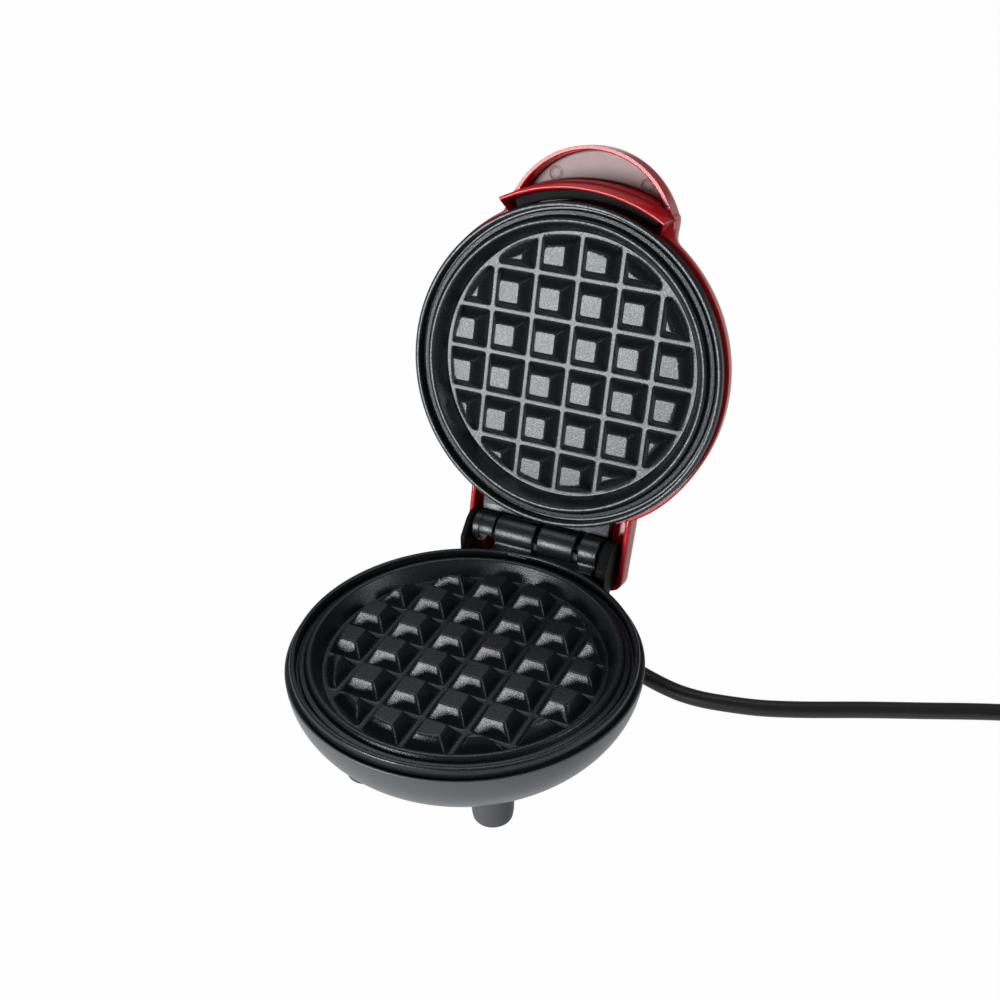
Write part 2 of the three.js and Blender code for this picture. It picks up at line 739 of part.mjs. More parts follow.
// One column of the shell's outside from the crown to the edge, as radius and height pairs
function shellColumn(angle) {
  const off = Math.abs(angle);
  const inSector = off < lipEndAngle;
  const blend = THREE.MathUtils.smoothstep(-off, -tabBlendAngle, -tabStartAngle);
  const shoulder = Math.acos(((tabTop - domeFoot) / domeHeight) ** (domePower / 2));
  const shoulderRadius = domeRadius * Math.sin(shoulder) ** (2 / domePower);
  const reach = tabOutline(angle);
  const column = [];
  for (let i = 1; i <= domeRings; i += 1) {
    const tilt = quarter * i / domeRings;
    const dome = [domeRadius * Math.sin(tilt) ** (2 / domePower),
      domeFoot + domeHeight * Math.max(0, Math.cos(tilt)) ** (2 / domePower)];
    let tab = dome;
    if (tilt > shoulder) {
      const turn = quarter * (tilt - shoulder) / (quarter - shoulder);
      tab = [shoulderRadius + (reach - shoulderRadius) * Math.sin(turn) ** (2 / tabPower),
        tabCrest + (tabTop - tabCrest) * Math.max(0, Math.cos(turn)) ** (2 / tabPower)];
    }
    column.push([THREE.MathUtils.lerp(dome[0], tab[0], blend), THREE.MathUtils.lerp(dome[1], tab[1], blend)]);
  }
  const wall = inSector ? lipRadius : domeRadius;
  const edge = inSector ? lipCrest : domeEdge;
  const under = inSector ? tabCrest : (domeFoot + domeEdge) / 2;
  column.push([wall, under - (inSector ? seatGap : 0)], [wall, edge]);
  return column;
}

function shellOutside() {
  const angles = [];
  const sectorSteps = 14;
  const blendSteps = 4;
  const rearSteps = 30;
  for (let i = 0; i <= sectorSteps; i += 1) {
    angles.push(tabStartAngle * (2 * i / sectorSteps - 1));
  }
  angles.push(lipAngle, lipEndAngle + (lipEndAngle - lipAngle) / 4);
  const blendFrom = lipEndAngle + (lipEndAngle - lipAngle) / 4;
  for (let i = 1; i <= blendSteps; i += 1) {
    angles.push(blendFrom + (tabBlendAngle - blendFrom) * i / blendSteps);
  }
  for (let i = 1; i < rearSteps; i += 1) {
    angles.push(tabBlendAngle + (2 * Math.PI - 2 * tabBlendAngle) * i / rearSteps);
  }
  for (let i = blendSteps; i >= 1; i -= 1) {
    angles.push(2 * Math.PI - blendFrom - (tabBlendAngle - blendFrom) * i / blendSteps);
  }
  angles.push(2 * Math.PI - blendFrom, 2 * Math.PI - lipAngle);
  const positions = [0, 0, domeFoot + domeHeight, 0, 0, domeEdge];
  const triangles = [];
  const rows = domeRings + 2;
  const at = (column, row) => 2 + (column % angles.length) * rows + row;
  for (const angle of angles) {
    const turn = angle > Math.PI ? angle - 2 * Math.PI : angle;
    for (const [radius, height] of shellColumn(turn)) {
      positions.push(radius * Math.sin(turn), -radius * Math.cos(turn), height);
    }
  }
  for (let c = 0; c < angles.length; c += 1) {
    triangles.push(0, at(c, 0), at(c + 1, 0));
    for (let r = 0; r < rows - 1; r += 1) {
      triangles.push(at(c, r), at(c, r + 1), at(c + 1, r + 1));
      triangles.push(at(c, r), at(c + 1, r + 1), at(c + 1, r));
    }
    triangles.push(1, at(c + 1, rows - 1), at(c, rows - 1));
  }
  const geometry = new THREE.BufferGeometry();
  geometry.setAttribute('position', new THREE.Float32BufferAttribute(positions, 3));
  geometry.setIndex(triangles);
  return solidOf(geometry);
}

function domeCavity() {
  const seatRoof = shellSeatHeight + shellSeatThickness;
  const inner = domeRadius - domeWall;
  const rise = domeHeight - domeWall;
  const points = [[0, -overrun], [seatRadius + seatGap, -overrun], [seatRadius + seatGap, shellSeatHeight],
    [shellSeatInner, shellSeatHeight], [shellSeatInner, seatRoof]];
  for (let i = domeRings - 1; i >= 0; i -= 1) {
    const tilt = quarter * i / domeRings;
    const height = domeFoot + rise * Math.cos(tilt) ** (2 / domePower);
    if (height > seatRoof + domeWall / 2) points.push([inner * Math.sin(tilt) ** (2 / domePower), height]);
  }
  return revolve(points);
}

// Ring sector in plan about the plate's centre, facing the front
function frontSector(innerRadius, outerRadius, halfAngle, low, high) {
  const shape = new THREE.Shape();
  shape.absarc(0, 0, outerRadius, -quarter - halfAngle, -quarter + halfAngle, false);
  shape.absarc(0, 0, innerRadius, -quarter + halfAngle, -quarter - halfAngle, true);
  return raised(shape, low, high, 2 * smallSteps);
}

// Plan of the tab's recess: outside an arc about the plate's centre, inside the tab's rim
function recess(inset, low, high) {
  const [arc, radius] = [recessArc + inset, tabRadius - tabWall - inset];
  const meet = Math.acos((arc ** 2 + tabCentre ** 2 - radius ** 2) / (2 * arc * tabCentre));
  const side = Math.atan2(-arc * Math.cos(meet) + tabCentre, arc * Math.sin(meet));
  const shape = new THREE.Shape();
  shape.absarc(0, 0, arc, -quarter - meet, -quarter + meet, false);
  shape.absarc(0, -tabCentre, radius, side, -Math.PI - side, true);
  return raised(shape, low, high, 2 * smallSteps);
}

function tail(side) {
  const shape = new THREE.Shape();
  shape.moveTo(tailInner, tailRoot);
  shape.lineTo(tailOuter, tailRoot);
  shape.lineTo(tailOuter, tailEnd - tailCorner);
  shape.absarc(tailOuter - tailCorner, tailEnd - tailCorner, tailCorner, 0, quarter, false);
  shape.lineTo(tailInner + tailCorner, tailEnd);
  shape.absarc(tailInner + tailCorner, tailEnd - tailCorner, tailCorner, quarter, Math.PI, false);
  const slope = [[tailRoot, tailEdge], [tailEnd + overrun, tailEdge],
    [tailEnd + overrun, tailEndTop], [tailRoot, tailRootTop]];
  const inner = new THREE.Shape();
  const corner = tailCorner - tailWall;
  inner.moveTo(tailInner + tailWall, tailRoot - overrun);
  inner.lineTo(tailOuter - tailWall, tailRoot - overrun);
  inner.lineTo(tailOuter - tailWall, tailEnd - tailCorner);
  inner.absarc(tailOuter - tailCorner, tailEnd - tailCorner, corner, 0, quarter, false);
  inner.lineTo(tailInner + tailCorner, tailEnd - tailWall);
  inner.absarc(tailInner + tailCorner, tailEnd - tailCorner, corner, quarter, Math.PI, false);
  const hollow = [[tailRoot - overrun, tailEdge - overrun], [tailEnd + overrun, tailEdge - overrun],
    [tailEnd + overrun, tailEndTop - tailWall], [tailRoot - overrun, tailRootTop - tailWall]];
  const open = [[domeRadius - overrun, tailEdge - overrun], [tailInnerWallStart, tailEdge - overrun],
    [tailInnerWallStart - tailWall, tailEndTop - tailWall],
    [domeRadius - overrun, tailRootTop - 2 * tailWall]];
  const [left, right] = [tailInner - overrun, tailOuter + overrun];
  const room = raised(inner, tailEdge - overrun, tailRootTop, cornerSteps).intersect(carried(hollow, left, right));
  const solid = raised(shape, tailEdge, tailRootTop, cornerSteps).intersect(carried(slope, left, right))
    .subtract(room).subtract(carried(open, left, tailInner + tailWall + seatGap));
  return side > 0 ? solid : solid.mirror([1, 0, 0]);
}

function lidShell() {
  const keep = upright(domeRadius - domeWall / 2, 0, 0, -overrun, domeFoot + domeHeight, roundSteps);
  const slotRadius = lipRadius - lipWall;
  const slotAngle = lipAngle - (lipRadius - slotRadius) / lipRadius;
  const notch = box(shellNotchLeft, shellNotchRight, flangeRootY, shellNotchBack, -overrun, shellNotchRoof)
    .add(box(upperKnuckleLeft - runningGap, upperFlangeRight + runningGap, flangeRootY, hoodEdge + runningGap,
      -overrun, hoodFace + hoodThickness + seatGap));
  const lensHole = upright(lensRadius + seatGap, 0, -lensY, domeFoot, domeFoot + domeHeight + overrun, 2 * smallSteps);
  return shellOutside().add(tail(1).subtract(keep)).add(tail(-1).subtract(keep))
    .subtract(domeCavity())
    .subtract(upright(rimOuter + seatGap, 0, 0, -overrun, domeEdge - runningGap, roundSteps))
    .subtract(frontSector(bellyRadius, slotRadius, slotAngle, -overrun, slotRoof))
    .subtract(recess(0, tabCrest - overrun, recessFloor))
    .subtract(notch).subtract(lensHole);
}

function handlePanel() {
  return recess(seatGap, panelFace, recessFloor - seatGap);
}

function lidInnerRing() {
  return frontSector(lidRingInner, lidRingOuter, lidRingAngle, lidRingFace, slotRoof - seatGap);
}

// Inner height of the dome at a radius from the centre
function domeInsideAt(radius) {
  const share = radius / (domeRadius - domeWall);
  return domeFoot + (domeHeight - domeWall) * (1 - share ** domePower) ** (1 / domePower);
}

function indicatorLens() {
  const roof = domeInsideAt(lensY + lensFlange) - seatGap;
  const crown = domeInsideAt(lensY) + domeWall + lensProud;
  return upright(lensRadius, 0, -lensY, roof - lensFlangeHeight, crown, 2 * smallSteps)
    .add(upright(lensFlange, 0, -lensY, roof - lensFlangeHeight, roof, 2 * smallSteps));
}

function neonLamp() {
  const top = domeInsideAt(lensY + lensFlange) - lensFlangeHeight - 2 * seatGap;
  return upright(neonRadius, 0, -lensY, top - neonLength, top);
}

// Screws: the head sits below, the shaft points up
function screw(x, y, headLow, tip) {
  return upright(screwHeadRadius, x, y, headLow, headLow + screwHeadHeight)
    .add(upright(screwRadius, x, y, headLow + screwHeadHeight / 2, tip));
}

function allScrews(headLow, tip) {
  return bossPlaces.map(([x, y]) => screw(x, y, headLow, tip));
}

// Inner parts of the base

function thermostat() {
  const top = -plateThickness - seatGap;
  return upright(thermostatRadius, 0, 0, top - thermostatHeight, top, 2 * smallSteps);
}

function thermalFuse() {
  const height = shieldBottom - seatGap - fuseRadius;
  const geometry = new THREE.CylinderGeometry(fuseRadius, fuseRadius, fuseLength, smallSteps);
  return solidOf(geometry.translate(fuseX, fuseY, height));
}

function terminalBlock() {
  return box(-terminalLength / 2, terminalLength / 2, terminalY - terminalWidth / 2, terminalY + terminalWidth / 2,
    housingFloor + seatGap, housingFloor + seatGap + terminalHeight);
}

// From the terminal block up to one end of the heating element
function innerWire(side) {
  const angle = quarter - side * (elementGapAngle + wireSetBack);
  const end = new THREE.Vector3(elementRadius * Math.cos(angle), elementRadius * Math.sin(angle),
    elementBottom - seatGap);
  const foot = new THREE.Vector3(side * terminalLength / 4, terminalY, housingFloor + terminalHeight + 2 * seatGap);
  const rise = (end.z - foot.z) / 3;
  return tube([foot, foot.clone().setZ(foot.z + rise), end.clone().setZ(end.z - rise), end],
    wireRadius, smallSteps, wireSides);
}

// Mains cord

const cordRest = tableHeight + cordRadius + cordLift;

function strainRelief() {
  const grip = [[0, seatGap], [reliefFlangeRadius, seatGap], [reliefFlangeRadius, reliefFlangeLength],
    [reliefRadius, reliefFlangeLength + seatGap], [reliefTipRadius, reliefLength], [0, reliefLength]];
  const neck = [[0, -blockWall * 2], [inletRadius - seatGap, -blockWall * 2], [inletRadius - seatGap, reliefFlangeLength],
    [0, reliefFlangeLength]];
  return turned(grip, reliefStart.clone().addScaledVector(reliefDirection, reliefFlangeLength), reliefDirection)
    .add(turned(neck, reliefStart.clone().addScaledVector(reliefDirection, reliefFlangeLength), reliefDirection));
}

const reliefEnd = reliefStart.clone().addScaledVector(reliefDirection, reliefFlangeLength + reliefLength + seatGap);

// The coil winds clockwise seen from above: in on the lower layer, up half a turn, out on the upper one
function coilPath() {
  const points = [];
  const count = Math.round(coilTurns * coilStepsPerTurn);
  const reversal = coilTurns / 2;
  for (let i = 0; i <= count; i += 1) {
    const turn = coilTurns * i / count;
    const radius = coilRadius - coilStep * Math.min(turn, coilTurns - turn);
    const climb = THREE.MathUtils.smoothstep(turn, reversal - coilClimbTurns / 2, reversal + coilClimbTurns / 2);
    const angle = quarter - 2 * Math.PI * turn;
    const nearTie = Math.max(0, Math.cos(2 * Math.PI * (turn - tieTurn))) ** 8;
    points.push(new THREE.Vector3(coilCentreX + radius * Math.cos(angle), coilCentreY + radius * Math.sin(angle),
      cordRest + coilStep * climb + tieLift * nearTie));
  }
  const run = 2 * cordRadius;
  const last = points[points.length - 1];
  points[0].z = cordRest;
  return [points[0].clone().setX(points[0].x - run), ...points, last.clone().setY(last.y - run)];
}

function leastCoilGap(points) {
  let least = Infinity;
  const apart = Math.round(coilStepsPerTurn / 2);
  for (let i = 0; i < points.length; i += 1) {
    for (let k = i + apart; k < points.length; k += 1) {
      least = Math.min(least, points[i].distanceTo(points[k]) - 2 * cordRadius);
    }
  }
  return least;
}

function lengthOf(points) {
  return points.slice(1).reduce((sum, point, i) => sum + point.distanceTo(points[i]), 0);
}

const coilPoints = coilPath();
const coilEntry = coilPoints[0];
const coilExit = coilPoints[coilPoints.length - 1];

function stretchRoute() {
  const leave = reliefEnd.clone().addScaledVector(reliefDirection, 2 * cordRadius);
  const route = stretchPoints.map(([x, y, rise]) => new THREE.Vector3(x, y, cordRest + rise));
  const arrive = coilEntry.clone().setX(coilEntry.x - seatGap);
  return [reliefEnd, leave, ...route, arrive.clone().setX(arrive.x - 2 * cordRadius), arrive];
}

const plugStart = new THREE.Vector3(coilExit.x, coilExit.y - tailLength, tableHeight + plugHeight / 2);

function tailRoute() {
  const start = coilExit.clone().setY(coilExit.y - seatGap);
  const end = plugStart.clone().setY(plugStart.y + seatGap);
  const place = (back, height) => new THREE.Vector3(start.x, start.y - back, height);
  return [start, place(2 * cordRadius, start.z), place(tailDrop / 2, (start.z + cordRest) / 2),
    place(tailDrop, cordRest + tailRise / 2), place((tailDrop + tailLength) / 2, cordRest + tailRise),
    end.clone().setY(end.y + 2 * cordRadius), end];
}

function cordTube(points) {
  return tube(points, cordRadius, Math.ceil(lengthOf(points) / cordStepLength), cordSides);
}

function cordTie() {
  const turnIn = coilRadius - coilStep * Math.min(tieTurn, coilTurns - tieTurn);
  const turnOut = coilRadius - coilStep * Math.min(tieTurn + 1, coilTurns - tieTurn - 1);
  const room = cordRadius + 2 * seatGap;
  const [near, far] = [Math.min(turnIn, turnOut) - room, Math.max(turnIn, turnOut) + room];
  const low = cordRest + tieLift - room + seatGap;
  const high = cordRest + coilStep + tieLift + room;
  const [left, right] = [coilCentreX - far, coilCentreX - near];
  const [front, back] = [coilCentreY - tieWidth / 2, coilCentreY + tieWidth / 2];
  return box(left - tieThickness, right + tieThickness, front, back, low - tieThickness, high + tieThickness)
    .subtract(box(left, right, front - overrun, back + overrun, low, high));
}

function plugBody() {
  const [x, front] = [plugStart.x, plugStart.y - plugLength];
  const [half, neck, grip] = [plugWidth / 2, plugCorner + cordRadius, front + plugLength * plugGripShare];
  const shape = outline([[x - half, front], [x + half, front], [x + half, grip], [x + neck, plugStart.y],
    [x - neck, plugStart.y], [x - half, grip]]);
  let body = raised(shape, tableHeight + cordLift, tableHeight + plugHeight);
  for (const side of [-1, 1]) {
    const bladeX = x + side * bladeSpacing / 2;
    const middle = tableHeight + plugHeight / 2;
    body = body.subtract(box(bladeX - bladeThickness / 2 - seatGap, bladeX + bladeThickness / 2 + seatGap,
      front - overrun, front + plugLength * bladeRootShare, middle - bladeWidth / 2 - seatGap,
      middle + bladeWidth / 2 + seatGap));
  }
  return body;
}

function plugBlade(side) {
  const front = plugStart.y - plugLength;
  const bladeX = plugStart.x + side * bladeSpacing / 2;
  const middle = tableHeight + plugHeight / 2;
  return box(bladeX - bladeThickness / 2, bladeX + bladeThickness / 2, front - bladeLength,
    front + plugLength * bladeRootShare - seatGap, middle - bladeWidth / 2, middle + bladeWidth / 2);
}

function leadInside() {
  const from = reliefStart.clone().addScaledVector(reliefDirection, -blockWall * 2 + reliefFlangeLength - seatGap);
  const block = housingFloor + seatGap + terminalHeight / 2;
  const stop = terminalLength / 2 + seatGap;
  return tube([from, from.clone().addScaledVector(reliefDirection, -cordRadius),
    new THREE.Vector3((from.x + stop) / 2, (from.y + terminalY) / 2, block),
    new THREE.Vector3(stop + cordRadius, terminalY, block), new THREE.Vector3(stop, terminalY, block)],
  cordRadius * innerLeadShare, smallSteps, elementSides);
}

// Assembly

const waffleMaker = new THREE.Group();
const base = new THREE.Group();
const cord = new THREE.Group();
const lid = new THREE.Group();
const hingePoint = new THREE.Group();
waffleMaker.add(base, cord, hingePoint);

add(base, 'base_housing', baseHousing(), greySatin);
for (const [name, x, y] of feet) add(base, name, foot(x, y), greyRubber);
add(base, 'lower_plate', lowerPlate(), coating);
add(base, 'lower_heating_element', heatingElement(), darkSteel);
add(base, 'lower_heat_shield', heatShield(), aluminium);
add(base, 'thermostat', thermostat(), blackPlastic);
add(base, 'thermal_fuse', thermalFuse(), ceramic);
add(base, 'terminal_block', terminalBlock(), ceramic);
add(base, 'inner_lead', leadInside(), blackCord);
add(base, 'live_wire', innerWire(-1), brass);
add(base, 'neutral_wire', innerWire(1), brass);
const baseScrewHead = bowlBottom + seatGap;
allScrews(baseScrewHead, bossEnd + screwBite).forEach((solid, i) => add(base, `base_screw_${i + 1}`, solid, steel));
add(base, 'hinge_bracket_left', hingeBracket(leftBracketOuter, leftBracketInner), blackPlastic);
add(base, 'hinge_bracket_right', hingeBracket(rightBracketInner, rightBracketOuter), blackPlastic);
const pinEnds = [leftBracketOuter + seatGap, rightBracketOuter - seatGap];
add(base, 'hinge_pin', axle(pinRadius, ...pinEnds, smallSteps), darkSteel);
add(base, 'strain_relief', strainRelief(), blackPlastic);

add(cord, 'cord_stretch', cordTube(stretchRoute()), blackCord);
add(cord, 'cord_coil', wound(coilPoints, cordRadius, coilSides), blackCord);
add(cord, 'cord_tail', cordTube(tailRoute()), blackCord);
add(cord, 'cord_tie', cordTie(), blackPlastic);
add(cord, 'plug_body', plugBody(), blackPlastic);
add(cord, 'plug_blade_left', plugBlade(-1), brass);
add(cord, 'plug_blade_right', plugBlade(1), brass);

// The lid is made closed and turned open about the hinge pin
hingePoint.position.set(0, hingeY, hingeZ);
hingePoint.rotation.x = -openAngle;
lid.position.set(0, -hingeY, -hingeZ);
hingePoint.add(lid);

add(lid, 'lid_shell', lidShell(), redGloss);
add(lid, 'handle_panel', handlePanel(), palePanel);
add(lid, 'lid_inner_ring', lidInnerRing(), blackPlastic);
add(lid, 'upper_plate', upperPlate(), coating);
const over = (solid) => solid.rotate([180, 0, 0]).translate([0, 0, platesApart]);
add(lid, 'upper_heating_element', over(heatingElement()), darkSteel);
add(lid, 'upper_heat_shield', over(heatShield()), aluminium);
const lidScrewHead = shieldBottom - seatGap - screwHeadHeight;
allScrews(lidScrewHead, bossEnd + screwBite).forEach((solid, i) => add(lid, `lid_screw_${i + 1}`, over(solid), steel));
add(lid, 'indicator_lens', indicatorLens(), amber);
add(lid, 'neon_lamp', neonLamp(), amber);

console.log('least gap in the coil', leastCoilGap(coilPoints).toFixed(2), 'mm, cord length',
  (lengthOf(stretchRoute()) + lengthOf(coilPoints) + lengthOf(tailRoute())).toFixed(0), 'mm');

// The origin is the middle of the object's footprint, on the table, without the cord
waffleMaker.updateMatrixWorld(true);
const reach = new THREE.Box3().expandByObject(base, true).union(new THREE.Box3().expandByObject(hingePoint, true));
const middle = reach.getCenter(new THREE.Vector3());
waffleMaker.position.set(-middle.x, -middle.y, -reach.min.z);
waffleMaker.updateMatrixWorld(true);

export default waffleMaker;
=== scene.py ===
"""Studio scene of a mini waffle maker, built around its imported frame.

Lengths in the classes are millimetres in the plate frame: the origin is the middle of the lower
cooking floor, +X is to the right, +Y runs to the hinge and +Z is up. Lid parts are written closed
and are turned open about the hinge pin. Datum turns both into the frame's metres. Each point of a
profile or outline carries the radius of its rounded corner as a third value.
"""
from __future__ import annotations

import logging
import math
from dataclasses import dataclass, field
from enum import Enum
from typing import Any, Iterable, Sequence

import bmesh
import bpy
import numpy as np
from mathutils import Matrix, Vector

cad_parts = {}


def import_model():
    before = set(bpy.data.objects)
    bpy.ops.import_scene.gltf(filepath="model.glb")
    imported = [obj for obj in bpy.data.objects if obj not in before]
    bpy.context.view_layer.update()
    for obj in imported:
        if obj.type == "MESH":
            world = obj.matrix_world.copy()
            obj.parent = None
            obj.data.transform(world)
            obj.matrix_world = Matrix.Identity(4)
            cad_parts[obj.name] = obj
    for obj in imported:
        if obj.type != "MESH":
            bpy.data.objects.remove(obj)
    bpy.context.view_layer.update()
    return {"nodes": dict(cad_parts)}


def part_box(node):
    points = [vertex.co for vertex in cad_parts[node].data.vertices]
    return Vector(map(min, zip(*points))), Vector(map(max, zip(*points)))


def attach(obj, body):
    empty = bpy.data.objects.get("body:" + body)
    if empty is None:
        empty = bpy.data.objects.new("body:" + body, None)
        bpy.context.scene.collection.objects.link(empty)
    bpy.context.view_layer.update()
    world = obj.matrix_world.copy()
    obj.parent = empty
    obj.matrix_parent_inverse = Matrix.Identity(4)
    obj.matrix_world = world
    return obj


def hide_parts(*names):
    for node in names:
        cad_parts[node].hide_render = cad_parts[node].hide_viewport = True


LOG = logging.getLogger("waffle_maker")
MM = 0.001
TAU = 2.0 * math.pi
TINY = 1e-9

HINGE_Y = 66.28
HINGE_Z = 9.11
OPEN_ANGLE = math.radians(105.35)
PLATES_APART = 13.2
TABLE = -34.4
REAR_FOOT = (13.4, 62.0)
SCREW_SPREAD = 16.2

Array = np.ndarray
Triple = tuple[float, float, float]


class Body(Enum):
    """The two bodies of the frame."""

    BASE = "base"
    LID = "lid"


class Grain(Enum):
    """Fine surface patterns that a finish can carry."""

    SPARK = "fine spark erosion of a mould"
    BRUSHED = "fine lines along one axis"
    PLAIN = "hardly any texture"


# Shapes as whole arrays


@dataclass
class Skin:
    """A surface as corner positions and arrays of faces of equal corner count."""

    points: Array
    faces: list[Array]

    def moved(self, offset: Sequence[float]) -> Skin:
        """Returns the surface shifted by an offset."""
        return Skin(self.points + np.asarray(offset, float), self.faces)

    def mirrored(self) -> Skin:
        """Returns the surface mirrored in X, with its faces turned back outwards."""
        return Skin(self.points * [-1.0, 1.0, 1.0], [f[:, ::-1] for f in self.faces])


def joined(skins: Iterable[Skin]) -> Skin:
    """Puts several surfaces into one.

    Args:
        skins: the surfaces.

    Returns:
        One surface with the faces' numbers moved along.
    """
    points, faces, start = [], [], 0
    for skin in skins:
        points.append(skin.points)
        faces.extend(f + start for f in skin.faces)
        start += len(skin.points)
    return Skin(np.concatenate(points), faces)


def quads_between(number: Array) -> Array:
    """The four corner numbers of each cell in a grid of point numbers."""
    return np.stack([number[:-1, :-1], number[:-1, 1:], number[1:, 1:], number[1:, :-1]], axis=-1)


def grid_skin(points: Array, wrap_rows: bool = False, wrap_columns: bool = False) -> Skin:
    """Covers a grid of points with quads.

    Args:
        points: positions as (rows, columns, 3).
        wrap_rows: the last row meets the first one.
        wrap_columns: the last column meets the first one.

    Returns:
        The surface.
    """
    rows, columns = points.shape[:2]
    number = np.arange(rows * columns).reshape(rows, columns)
    if wrap_rows:
        number = np.vstack([number, number[:1]])
    if wrap_columns:
        number = np.hstack([number, number[:, :1]])
    return Skin(points.reshape(-1, 3), [quads_between(number).reshape(-1, 4)])


def capped_skin(rings: Array) -> Skin:
    """Covers rings of points with quads and closes both ends with one face each.

    Args:
        rings: positions as (rings, points, 3).

    Returns:
        The closed surface.
    """
    skin = grid_skin(rings, wrap_columns=True)
    first = np.arange(rings.shape[1])
    last = first + (rings.shape[0] - 1) * rings.shape[1]
    skin.faces += [first[::-1][None], last[None]]
    return skin


def softened(corners: Array, radii: Sequence[float], steps: int = 4) -> Array:
    """Rounds the corners of many polylines at once.

    Each corner becomes a quadratic curve between two points that lie a radius away along its two
    edges, or at less than half an edge where that is shorter.

    Args:
        corners: positions as (lines, corners, 2).
        radii: one radius a corner; the two ends stay as they are.
        steps: curve points a corner.

    Returns:
        Positions as (lines, points, 2).
    """
    edge_share = 0.48
    share = np.linspace(0.0, 1.0, steps)[None, :, None]
    parts = [corners[:, :1]]
    for k in range(1, corners.shape[1] - 1):
        here = corners[:, k]
        reach = []
        for edge in (corners[:, k - 1] - here, corners[:, k + 1] - here):
            length = np.linalg.norm(edge, axis=1, keepdims=True)
            away = np.minimum(radii[k], edge_share * length)
            reach.append((here + edge / np.maximum(length, TINY) * away)[:, None])
        start, stop = reach
        bend = 2 * share * (1 - share) * here[:, None]
        parts.append((1 - share) ** 2 * start + bend + share ** 2 * stop)
    parts.append(corners[:, -1:])
    return np.concatenate(parts, axis=1)


def profile(points: Sequence[Triple], steps: int = 4) -> Array:
    """Turns (radius, height, corner radius) triples into one rounded profile of (points, 2)."""
    data = np.asarray(points, float)
    return softened(data[None, :, :2], list(data[:, 2]), steps)[0]


def rounded_outline(points: Sequence[Triple], steps: int = 6) -> Array:
    """A closed outline with each corner rounded.

    Args:
        points: (a, b, corner radius) triples, counterclockwise.
        steps: curve points a corner.

    Returns:
        Positions as (points, 2).
    """
    data = np.asarray(points, float)
    loop = np.vstack([data[-1:], data, data[:1]])
    return softened(loop[None, :, :2], list(loop[:, 2]), steps)[0, 1:-1]


def turned(shape: Array, bearings: Array) -> Array:
    """Carries a profile round Z: every point keeps its radius and height at each bearing.

    Args:
        shape: the profile as (points, 2), radius and height.
        bearings: angles from +X.

    Returns:
        Positions as (points, bearings, 3).
    """
    points = np.empty((len(shape), len(bearings), 3))
    points[..., 0] = shape[:, None, 0] * np.cos(bearings)
    points[..., 1] = shape[:, None, 0] * np.sin(bearings)
    points[..., 2] = shape[:, None, 1]
    return points


def lathe(shape: Array, steps: int) -> Skin:
    """Turns a profile of (radius, height) about Z in equal steps of a whole turn."""
    bearings = np.linspace(0.0, TAU, steps, endpoint=False)
    return grid_skin(turned(shape, bearings), wrap_columns=True)


def laid_along(skin: Skin, start: Sequence[float], direction: Sequence[float]) -> Skin:
    """Turns a surface's +Z to a direction and moves its origin to a start point."""
    turn = Vector((0.0, 0.0, 1.0)).rotation_difference(Vector(direction)).to_matrix()
    return Skin(skin.points @ np.array(turn).T + np.asarray(start, float), skin.faces)


def axle(span: tuple[float, float], radius: float, bore: float, bevel: float = 0.5,
         steps: int = 64) -> Skin:
    """A round sleeve or rod on the hinge axis: a profile turned about the pin's line.

    Args:
        span: its left and right end.
        radius: outer radius.
        bore: radius of its bore, 0 for a rod.
        bevel: corner radius of its rims.
        steps: points round it.

    Returns:
        The surface.
    """
    left, right = span
    ring = profile([(bore, left, 0), (radius, left, bevel), (radius, right, bevel), (bore, right, 0)])
    angle = np.linspace(0.0, TAU, steps, endpoint=False)
    points = np.empty((len(ring), steps, 3))
    points[..., 0] = ring[:, None, 1]
    points[..., 1] = HINGE_Y + ring[:, None, 0] * np.cos(angle)
    points[..., 2] = HINGE_Z + ring[:, None, 0] * np.sin(angle)
    return grid_skin(points, wrap_rows=bore > 0, wrap_columns=True)


def slab(outline: Array, low: float, high: float, bevel: float, axes: str = "xyz") -> Skin:
    """A closed outline carried from one level to another, with rounded rims.

    The outline shrinks along its corner normals by bevel * (1 - sin a) while the level comes in by
    bevel * (1 - cos a).

    Args:
        outline: positions as (points, 2), counterclockwise.
        low: first level.
        high: last level.
        bevel: radius of both rims.
        axes: which axes the outline's two values and the level take, "xyz" or "yzx".

    Returns:
        The closed surface.
    """
    mitre_limit, bevel_steps = 0.6, 4
    edge = np.roll(outline, -1, axis=0) - outline
    edge /= np.maximum(np.linalg.norm(edge, axis=1, keepdims=True), TINY)
    normal = np.stack([edge[:, 1], -edge[:, 0]], axis=-1)
    corner = normal + np.roll(normal, 1, axis=0)
    corner /= np.maximum(np.sum(corner * normal, axis=1, keepdims=True), mitre_limit)
    turn = np.linspace(0.0, math.pi / 2, bevel_steps)
    inset = bevel * (1 - np.sin(turn))
    depth = bevel * (1 - np.cos(turn))
    insets = np.concatenate([inset, inset[::-1]])
    levels = np.concatenate([low + depth, high - depth[::-1]])
    points = np.empty((len(levels), len(outline), 3))
    points[..., :2] = outline[None] - corner[None] * insets[:, None, None]
    points[..., 2] = levels[:, None]
    order = {"xyz": [0, 1, 2], "yzx": [2, 0, 1]}[axes]
    return capped_skin(points[..., order])


